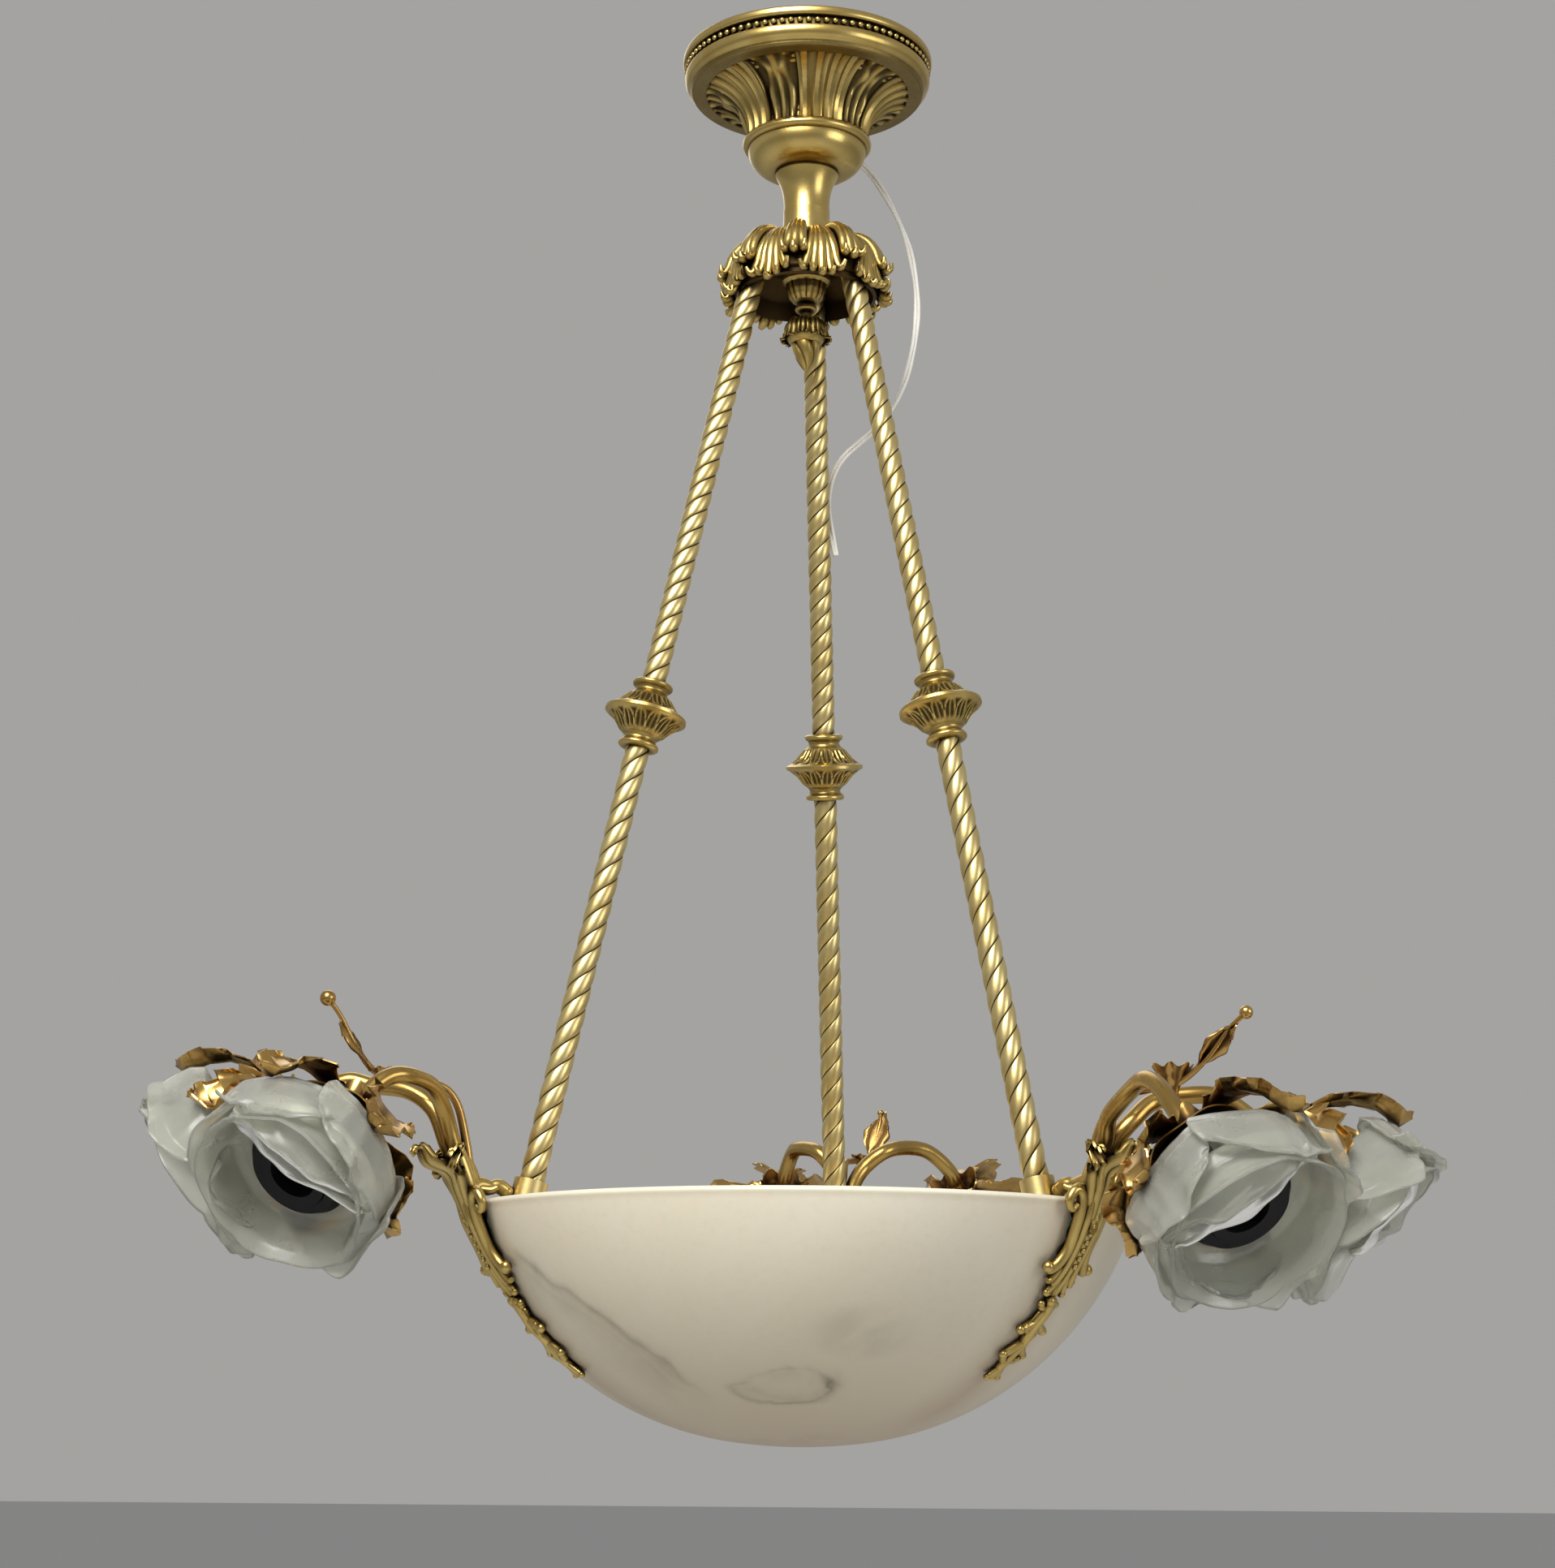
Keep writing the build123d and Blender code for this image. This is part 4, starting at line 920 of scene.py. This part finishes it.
# Strokes that both halves of a bracket share, as points on the bowl, radii, steps and
# roundness: a scroll, the rib inside it, the shoulder, two feet and the claw over the rim.
BRACKET_STROKES = [
    ([(15.6, -3.0, 7.0), (18.6, -6.0, 6.2), (21.4, -1.0, 5.4), (18.0, 4.6, 5.4),
      (13.0, 2.4, 6.4), (11.6, -7.0, 7.0), (10.6, -18.0, 6.6), (9.4, -29.0, 5.8),
      (11.8, -38.0, 5.0), (16.6, -43.0, 4.6), (19.4, -41.0, 4.8)],
     [1.8, 2.2, 2.7, 3.1, 3.4, 3.3, 3.1, 3.1, 3.3, 3.0, 2.4], 60, 4),
    ([(6.0, 2.0, 9.0), (6.4, -10.0, 8.8), (5.4, -24.0, 7.6), (5.2, -38.0, 6.2),
      (6.8, -48.0, 5.0), (9.6, -52.0, 4.6)], [2.2, 2.8, 2.6, 2.4, 2.6, 2.1], 34, 4),
    ([(2.5, 8.0, 8.0), (8.5, 4.6, 6.6), (15.0, 5.6, 5.0), (21.0, 1.6, 4.4)],
     [2.8, 3.4, 3.2, 2.2], 20, 3),
    ([(3.6, -30.0, 4.4), (6.6, -42.0, 4.0), (9.8, -48.6, 3.4), (12.6, -50.4, 3.6)],
     [1.6, 2.5, 2.5, 2.0], 22, 3),
    ([(2.2, -38.0, 4.6), (4.6, -50.0, 3.6), (7.4, -57.0, 3.2)], [1.8, 2.4, 2.1], 18, 3),
    ([(2.0, 5.0, -3.0), (4.0, 3.0, -8.0), (6.0, 3.6, -11.5)], [2.6, 2.6, 2.0], 14, 3),
]
# Pearls in a scroll's end and on the outer foot: a point on the bowl, radius and fineness.
BRACKET_PEARLS = [((19.6, -41.4, 5.2), 3.5, 3), ((7.6, -57.4, 3.4), 2.5, 2)]
# Leaves that open from the neck under the arms: reach, sideways spread, tip height and half
# of their width.
NECK_LEAVES = [(240.0, 0.0, 27.0, 12.0), (222.0, 16.0, 25.5, 9.5), (222.0, -16.0, 25.5, 9.5)]
for side_name, azimuth in AZIMUTHS.items():
    bracket_shape = bmesh.new()

    def ribbed_leaf(u, v):
        height = 6.0 - 65.0 * v
        width = along_list(BRACKET_WIDTHS, v) * (1 + 0.14 * sin(v * 11 * pi))
        lift = 1.2 + 6.0 * (1 - u * u) ** 0.8 - 1.3 * abs(sin(u * 3 * pi))
        return on_bowl(azimuth, u * width, height, lift * (1 - 0.42 * v))

    # The leaf's grooves are darkened as patina and painted shade.
    press(bracket_shape, ribbed_leaf, 36, 48, -1.2,
          lambda u, v: abs(sin(u * 3 * pi)) ** 1.5 * 0.8 + 0.1)
    draw(bracket_shape, line_on_bowl(azimuth, [
        (0, 10, 8.5), (0, 2, 8.6), (0, -14, 7.9), (0, -30, 6.9), (0, -46, 5.4), (0, -61, 2.6)]),
        [5.0, 4.2, 3.0, 2.5, 2.2, 1.8], 30)
    for k in range(9):
        pearl(bracket_shape, on_bowl(azimuth, 0, 1.0 - 5.0 * k, 11.0 - 0.36 * k), 2.0)
    for side in (-1, 1):
        for points, radii, steps, roundness in BRACKET_STROKES:
            draw(bracket_shape, line_on_bowl(azimuth, points, side), radii, steps, roundness)
        for (across, height, lift), radius, fineness in BRACKET_PEARLS:
            pearl(bracket_shape, on_bowl(azimuth, side * across, height, lift), radius, fineness)
        draw(bracket_shape, line_on_bowl(azimuth, [(3.4, -24.0, 5.0), (4.6, -10.0, 6.4)], side)
             + branch_line(azimuth, [(206.4, 5.2, 4.0), (209.6, 5.3, 13.0), (213.3, 5.2, 22.0),
                                     (216.0, 5.5, 27.5)], side),
             [2.8, 4.2, 5.0, 5.4, 5.4, 5.1], 26, 4)
    draw(bracket_shape, branch_line(azimuth, [
        (207.6, 0, 22.6), (204.0, 0, 10.0), (204.6, 0, -5.0)]), [3.4, 5.0, 4.6], 16, 4)
    draw(bracket_shape, branch_line(azimuth, [
        (205.0, 0, 4.0), (200.0, 0, 8.4), (193.0, 0, 7.4), (188.0, 0, 8.0), (183.6, 0, 5.4)]),
        [5.4, 4.8, 3.9, 4.4, 4.2], 22, 4)
    pearl(bracket_shape, at_branch(azimuth, 183.0, 0, 4.8), 4.4, 3)
    for reach, spread, tip_height, half in NECK_LEAVES:
        press(bracket_shape, lobed_leaf(branch_line(azimuth, [
            (206.5, 0.1 * spread, -12.0), (214.0, 0.35 * spread, 3.0),
            (219.6, 0.65 * spread, 14.0), (0.45 * reach + 123.0, 0.9 * spread, tip_height - 8.0),
            (reach - 4.0, spread, tip_height + 0.6), (reach, 1.1 * spread, tip_height - 3.6)]),
            [5.0, 8.0, half, half, half * 0.95, half * 0.7], sideways_of(azimuth),
            3, 0.24, 2.2, -2.0), 26, 34, 1.5, furrowed(3))
    piece(bracket_shape, f"cast_bracket_{side_name}", gilt, [f"bracket_{side_name}"],
          crisp=60.0)

# Drop ornaments: a separate leafy link below each bracket that lies on the stone.
# Its side lobes are given by the heights of their root and tip, their reach and thickness.
DROP_LOBES = [(-66, -64, 7.0, 2.3), (-74, -80, 10.8, 2.9), (-80, -78, 7.0, 2.3),
              (-88, -95, 9.4, 2.7), (-98, -97, 7.0, 2.2), (-103, -109, 5.2, 2.1)]
drop_shape = bmesh.new()
for azimuth in AZIMUTHS.values():
    stem = [(0, -60.5, 3.4), (1.4, -68, 3.4), (-1.0, -78, 3.4), (1.2, -88, 3.0),
            (-0.8, -98, 2.9), (0.6, -110, 2.5)]
    draw(drop_shape, line_on_bowl(azimuth, stem), [3.4, 3.8, 3.6, 3.2, 3.0, 2.3], 34)
    pearl(drop_shape, on_bowl(azimuth, -1.0, -61.8, 4.4), 3.4, 3)
    pearl(drop_shape, on_bowl(azimuth, 3.4, -62.6, 3.8), 2.6)

    def cast_leaf(u, v):
        width = along_list([2.0, 5.6, 5.0, 6.4, 3.0], v)
        return on_bowl(azimuth, u * width + 1.2 * sin(v * 9.0), -64.0 - 22.0 * v,
                       3.2 + 2.2 * (1 - u * u) - 0.8 * abs(sin(u * 2 * pi)))

    # Its grooves are darkened as patina and painted shade.
    press(drop_shape, cast_leaf, 20, 24, -1.0, lambda u, v: abs(sin(u * 2 * pi)) ** 1.5 * 0.9)
    for root, tip, out, thick in DROP_LOBES:
        for side in (-1, 1):
            draw(drop_shape, line_on_bowl(azimuth, [
                (0, root, 3.2), (out * 0.6, (root + tip) / 2 - 1.4, 3.2), (out, tip, 3.6)], side),
                [thick, thick, thick * 0.8], 14)
            pearl(drop_shape, on_bowl(azimuth, side * out, tip, 3.7), thick)
piece(drop_shape, "leafy_drops", gilt, ["drop_ornaments"], crisp=60.0)

# Arms: bent brass tube, brazed into the neck, in a deeper tone than the cast parts. Each arm
# is given by its end (out, across and height), its splay and tilt in degrees and its crest.
ARMS = {
    "left_front": (288.6, 50.5, 42.3, 37.4, 39.9, 65.0),
    "left_back": (292.5, 54.0, 55.0, 20.0, 35.0, 66.5),
    "right_front": (309.1, 68.8, 25.0, 22.1, 45.1, 58.0),
    "right_back": (283.0, 64.0, 34.6, 22.0, 45.0, 58.0),
    "rear_left": (278.0, 50.0, 35.0, 20.0, 47.0, 60.0),
    "rear_right": (278.0, 70.0, 35.0, 20.0, 47.0, 60.0),
}
ARM_RADIUS = 5.0
ARM_SIDES = {
    "left": {1: "front", -1: "back"},
    "right": {-1: "front", 1: "back"},
    "rear": {1: "left", -1: "right"},
}
branches = []
for side_name, sides in ARM_SIDES.items():
    for side, end_name in sides.items():
        azimuth = AZIMUTHS[side_name]
        out, across, height, splay, tilt, crest = ARMS[f"{side_name}_{end_name}"]
        way = level_way(azimuth + side * splay) * cos(radians(tilt))
        way.z = -sin(radians(tilt))
        end = at_branch(azimuth, out, side * across, height)
        branches.append((f"{side_name}_{end_name}", azimuth, side, end, way))
        crest_out, crest_side = 0.6 * out + 80.0, 0.35 * across + 17.5
        bend = branch_line(azimuth, [
            (210.6, 5.2, 16.0), (217.5, 5.6, 31.0), (225.0, 0.4 * crest_side - 4.0, crest - 15.0),
            (crest_out - 18.0, crest_side - 14.5, crest - 3.6), (crest_out, crest_side, crest),
        ], side)
        bend.append(bend[-1].lerp(end - way * 16.0, 0.5) + Vector((0, 0, 4.0)))
        arm_shape = bmesh.new()
        draw(arm_shape, [*bend, end - way * 15.0, end - way * 2.0], [ARM_RADIUS] * 8, 64, 6)
        piece(arm_shape, f"bent_arm_{side_name}_{end_name}", gilt_tube,
              [f"arm_{side_name}_{end_name}"], crisp=60.0)


def about_shade(end, way, radius, turned, along):
    """A point about a shade's axis: turned 0 is level, and turned 90 the upper side."""
    across = Vector((0, 0, 1)).cross(way).normalized()
    above = way.cross(across)
    return end + way * along + (across * cos(turned) + above * sin(turned)) * radius


def ripple_at(x, y, z):
    """Smooth unevenness between about -1 and 1."""
    return noise.noise(Vector((x, y, z)))


CREASE_SHARPNESS = 3.6


def crease_at(x, y, z):
    """How near a place is to a crease, which runs where the unevenness crosses zero."""
    return exp(-(ripple_at(x, y, z) * CREASE_SHARPNESS) ** 2)


# Leaf cups: a stamped calyx behind each shade, with a small frilled collar that points back
# to the arm, a scalloped cup round the lampholder, and five broad saw-edged leaves that lie
# over the glass and flick up at the tip.
for name, azimuth, side, end, way in branches:
    calyx_shape = bmesh.new()
    draw(calyx_shape, [end + way * -4.0, end + way * 2.0, end + way * 7.0], [5.2, 6.6, 7.6], 12, 4)

    def collar(u, v):
        turned = (u + 1) * pi
        tooth = 0.5 + 0.5 * cos(turned * 6)
        radius = along_list([7.0, 10.5, 13.0, 15.0], v) + 2.6 * tooth * v
        radius += 3.0 * v * ripple_at(cos(turned) * 1.6, sin(turned) * 1.6, azimuth)
        return about_shade(end, way, radius, turned, 8.0 - 9.0 * v - 5.5 * tooth * v * v)

    # Darker between the collar's teeth, as patina and painted shade.
    press(calyx_shape, collar, 84, 8, 0.8, lambda u, v: 0.75 - 0.6 * cos((u + 1) * pi * 6))

    def back_cup(u, v):
        return about_shade(end, way, along_list([6.0, 14.0, 23.0, 31.0], v), (u + 1) * pi,
                           along_list([4.5, 6.5, 10.5, 16.0], v) + 1.5 * v * cos((u + 1) * pi * 5))

    # The cup lies behind the glass and the leaves and is darkened all over as patina and painted
    # shade.
    press(calyx_shape, back_cup, 60, 10, 0.8, lambda u, v: 0.35)
    for k in range(5):
        middle = radians(90.0 + 72.0 * k + 9.0 * sin(azimuth + 2.0 * side + 2.3 * k))
        bend = ripple_at(k * 3.1, azimuth * 0.1 + side, 0.3)

        def sepal(u, v):
            along = along_list([4.0, 5.5, 11.0, 20.0, 30.0, 39.0, 46.0, 48.0], v)
            radius = along_list([7.0, 20.0, 35.0, 46.0, 51.5, 53.0, 55.5, 62.0 + 5.0 * bend], v)
            width = along_list([4.0, 11.0, 18.0, 21.0, 20.0, 17.0, 11.0, 1.2], v)
            saw = (v * 4.5 + 0.3) % 1.0
            width *= 1.0 - 0.42 * (1 - saw) * abs(u) ** 2
            crumple = ripple_at(u * 1.6, v * 3.6, k * 5.0 + azimuth + side)
            radius += 3.0 * crumple - 1.5 * (1 - abs(u)) + 1.6 * abs(u) ** 2 * sin(v * 11.0 + k)
            radius += (7.0 + 7.0 * bend * u) * abs(u) ** 2.2 * sin(pi * (0.12 + 0.76 * v))
            along -= 3.0 * abs(u) ** 1.3 * (0.4 + v) * (1 - 0.5 * v)
            sway = 8.0 * sin(v * 3.0 + bend * 6) * v
            return about_shade(end, way, max(radius, 6.0),
                               middle + (u * width + sway) / max(radius, 16.0), along)

        # Each leaf is darker down its sunken middle, as patina and painted shade.
        press(calyx_shape, sepal, 20, 48, 0.9,
              lambda u, v: 0.9 - abs(u) * 3.0 + 0.5 * ripple_at(u * 3, v * 9, k))
    piece(calyx_shape, f"calyx_{name}", gilt_leaf, [f"leaf_cup_{name}"], crisp=45.0)

# Shades: pressed rose shades of frosted glass. Thick petals wrap the cup in turn, their
# lips flare and ruffle, and two inner petals fold across the mouth.
frosted = new_finish("frosted")
frost_cloud = frosted.cloud(45.0, 4.0, 0.5)
frost_grain = frosted.cloud(700.0, 3.0)
frosted.surface({
    "Base Color": frosted.blend((frost_cloud * 1.5 - 0.25).held(), (0.94, 0.95, 0.88, 1),
                                (0.85, 0.85, 0.77, 1)),
    "Roughness": (0.25 + (frost_cloud - 0.5) * 0.14).held(),
    "IOR": 1.46, "Transmission Weight": 0.80,
    "Normal": frosted.node("ShaderNodeBump", {}, {
        "Strength": 0.10, "Distance": 0.0005, "Height": frost_grain + frost_cloud * 3.0})})

GLASS_THICKNESS = 1.9
PETALS_NARROWER = 0.965
FOLD_BASE = 46.0
for name, azimuth, side, end, way in branches:
    rose_shape = bmesh.new()
    fold_at = 90.0 - side * 48.0
    seed = azimuth * 0.37 + side

    def cup_wall(u, v):
        turned = (u + 1) * pi
        along = along_list([49.8, 49.8, 48.5, 49.5, 54.0, 62.0, 71.0, 77.0], v)
        radius = along_list([21.0, 27.5, 33.0, 38.0, 42.0, 44.5, 46.5, 50.5], v)
        round_x, round_y = cos(turned), sin(turned)
        wave = ripple_at(round_x * 1.5, round_y * 1.5, seed)
        crease = crease_at(round_x * 2.4, round_y * 2.4, seed + v * 0.7)
        petal_edge = abs(sin(turned * 2.5 + seed)) ** 0.5
        return about_shade(end, way, radius + (1.7 * wave + 0.9 * crease) * v, turned,
                           along + (6.0 * wave + 5.0 * petal_edge - 3.0) * v ** 4)

    press(rose_shape, cup_wall, 110, 24, GLASS_THICKNESS)

    def petal(middle, spread, alongs, radii, skew, notch, ruffle, key):
        """One petal round the cup: its radius and place along the axis run from base to lip.
        Creases run up it, its sides fold back, and its lip ends in a blunt point."""
        def place(u, v):
            ripple = ripple_at(u * 1.5, v * 1.2, key + seed)
            crease = crease_at(u * 2.4 + v * 0.6, v * 0.7, key + seed)
            point = max(0.0, 1 - abs(u + 0.25 * ripple) * 2.2) ** 1.5
            along = along_list(alongs, v) - notch * abs(u) ** 2.2 * v + 3.5 * point * v ** 5
            radius = along_list(radii, v) + skew * u + ruffle * ripple * (0.4 + v)
            radius += 2.6 * crease * v * (1.2 - 0.5 * v) + 2.6 * abs(u) ** 5 * v
            radius += ruffle * 0.55 * sin(u * 7.5 + key * 2.0) * v ** 4
            turned = radians(middle + u * spread * (0.82 + 0.30 * v - 0.34 * v ** 4))
            return about_shade(end, way, radius * PETALS_NARROWER, turned,
                               along + ripple * 3.5 * v)
        press(rose_shape, place, 34, 26, GLASS_THICKNESS)

    for k in range(5):
        petal(fold_at + 30 + 72 * k + 8.0 * sin(seed * 3 + k * 1.9),
              46.0 + 6.0 * sin(seed + 2.1 * k),
              [44.0, 37.0, 38.0, 46.0, 57.0, 68.0 + 2.0 * sin(k * 2.6 + seed), 76.0],
              [31.0, 42.0, 49.0, 52.5, 53.0, 52.5, 56.0 + 1.2 * sin(seed + k * 1.3)], 2.4,
              15.0 + 5.0 * sin(seed * 2 + k), 2.4, k * 2.3)

    def inner_fold(lip_at, rise, spread, key):
        """A petal that leans over part of the mouth: it starts on the wall and ends in a lip,
        with creases beside the lip."""
        def place(u, v):
            turned = u * radians(spread)
            base_x, base_y = FOLD_BASE * sin(turned), FOLD_BASE * cos(turned)
            ripple = ripple_at(u * 1.8, v * 1.4, key + seed)
            crease = crease_at(u * 1.1 + v * 0.7, v * 2.3 - u * 0.8, key)
            lip_x = 43.0 * u
            lip_y = lip_at + 6.0 * ripple + 6.0 * u * u + 2.0 * sin(u * 6.0 + key)
            x = base_x + (lip_x - base_x) * v
            y = base_y + (lip_y - base_y) * v
            lift = 54.0 + (rise - 54.0) * sin(v * pi / 2) ** 0.7 - 7.0 * u * u * v
            lift += 3.4 * crease * v + 3.0 * ripple * v - 4.0 * max(0.0, v - 0.86) / 0.14
            return about_shade(end, way, hypot(x, y), atan2(x, y) * -side + radians(fold_at),
                               lift)
        press(rose_shape, place, 40, 30, 1.8)

    inner_fold(17.0, 76.0, 76.0, 11.0)
    inner_fold(28.0, 79.0, 66.0, 17.0)
    petal(fold_at + 150, 40.0, [50.0, 58.0, 68.0, 75.0], [44.5, 47.5, 47.5, 45.0], 2.0, 9.0,
          3.0, 31.0)
    rose = piece(rose_shape, f"rose_shade_{name}", frosted.block, [f"shade_{name}"],
                 crisp=80.0)
    softer = rose.modifiers.new("softer", "SUBSURF")
    softer.levels = 1
    softer.render_levels = 1

# Lampholders and their rings: black moulded plastic.
black = new_finish("black_moulding")
black_wear = black.cloud(120.0, 3.0)
coat(black.surface({
    "Base Color": black.blend(black_wear, (0.004, 0.0045, 0.005, 1), (0.014, 0.0145, 0.016, 1)),
    "Roughness": (0.22 + black_wear * 0.2).held(), "Specular IOR Level": 0.12}),
    "lampholders", "bowl_lampholders", *[f"shade_ring_{name}" for name, *_ in branches])

# Tendrils: a thin stem between each pair of arms, with a frilled tuft, a twisted leaf
# and a ball at the tip. Each is given by its crest, its tip (out, height and lean), the
# half-width and place of its leaf, the radius of its ball and the size of its tuft.
TENDRILS = {
    "left": (67.5, 292.0, 111.0, 0.0, 6.0, 0.15, 4.6, 0.6),
    "right": (58.0, 305.0, 96.0, 0.0, 7.4, 0.55, 3.8, 1.2),
    "rear": (51.0, 277.0, 87.0, -18.0, 9.5, 0.65, 2.2, 0.6),
}
tendril_shape = bmesh.new()
for side_name, azimuth in AZIMUTHS.items():
    crest, tip_out, tip_height, lean, blade, blade_place, tip, tuft = TENDRILS[side_name]
    over, rise = tip_out - 262.0, tip_height - crest - 2.5
    stem = branch_line(azimuth, [
        (205.9, 0, 18.0), (208.0, 0, 32.0), (214.0, 0, crest - 13.5), (224.5, 0, crest - 3.0),
        (244.0, 0.1 * lean, crest), (262.0, 0.5 * lean, crest + 2.5),
        (262.0 + 0.40 * over, 0.8 * lean, crest + 2.5 + 0.32 * rise),
        (262.0 + 0.74 * over, lean, crest + 2.5 + 0.76 * rise), (tip_out, lean, tip_height)])
    draw(tendril_shape, stem, [3.0, 2.6, 2.4, 2.3, 2.2, 2.0, 1.6, 1.4, 1.5], 60)
    pearl(tendril_shape, stem[-1], tip, 3)
    blade_middle = stem[-3].lerp(stem[-2], blade_place)
    blade_way = (stem[-2] - stem[-4]).normalized()
    press(tendril_shape, lobed_leaf(
        [blade_middle - blade_way * 18.0, blade_middle - blade_way * 8.0, blade_middle,
         blade_middle + blade_way * 8.0, blade_middle + blade_way * 16.0],
        [0.6, blade * 0.8, blade, blade * 0.7, 0.8], sideways_of(azimuth), 3, 0.04, 1.0, 1.6,
        0.0 if lean else 1.5), 14, 26, 0.9, furrowed(3))
    tuft_foot = at_branch(azimuth, 258.0, 0.4 * lean, crest - 1.5 - 4.0 * tuft)

    def frilled(u, v):
        turned = (u + 1) * pi
        frill = 0.5 + 0.5 * cos(turned * 7)
        radius = along_list([2.2, 3.6, 3.4 + 3.4 * tuft, 3.6 + 6.2 * tuft], v)
        radius *= 1 + 0.2 * (frill - 0.5) * v
        return tuft_foot + Vector((radius * cos(turned), radius * sin(turned),
                                   (-1.0 + 15.0 * v + 2.0 * frill * v) * tuft))

    # The tuft is darkened between its frills as patina and painted shade.
    press(tendril_shape, frilled, 84, 10, 0.8,
          lambda u, v: 0.9 - 1.4 * (0.5 + 0.5 * cos((u + 1) * pi * 7)))
piece(tendril_shape, "tendril_stems", gilt_leaf, ["tendrils"], crisp=50.0)
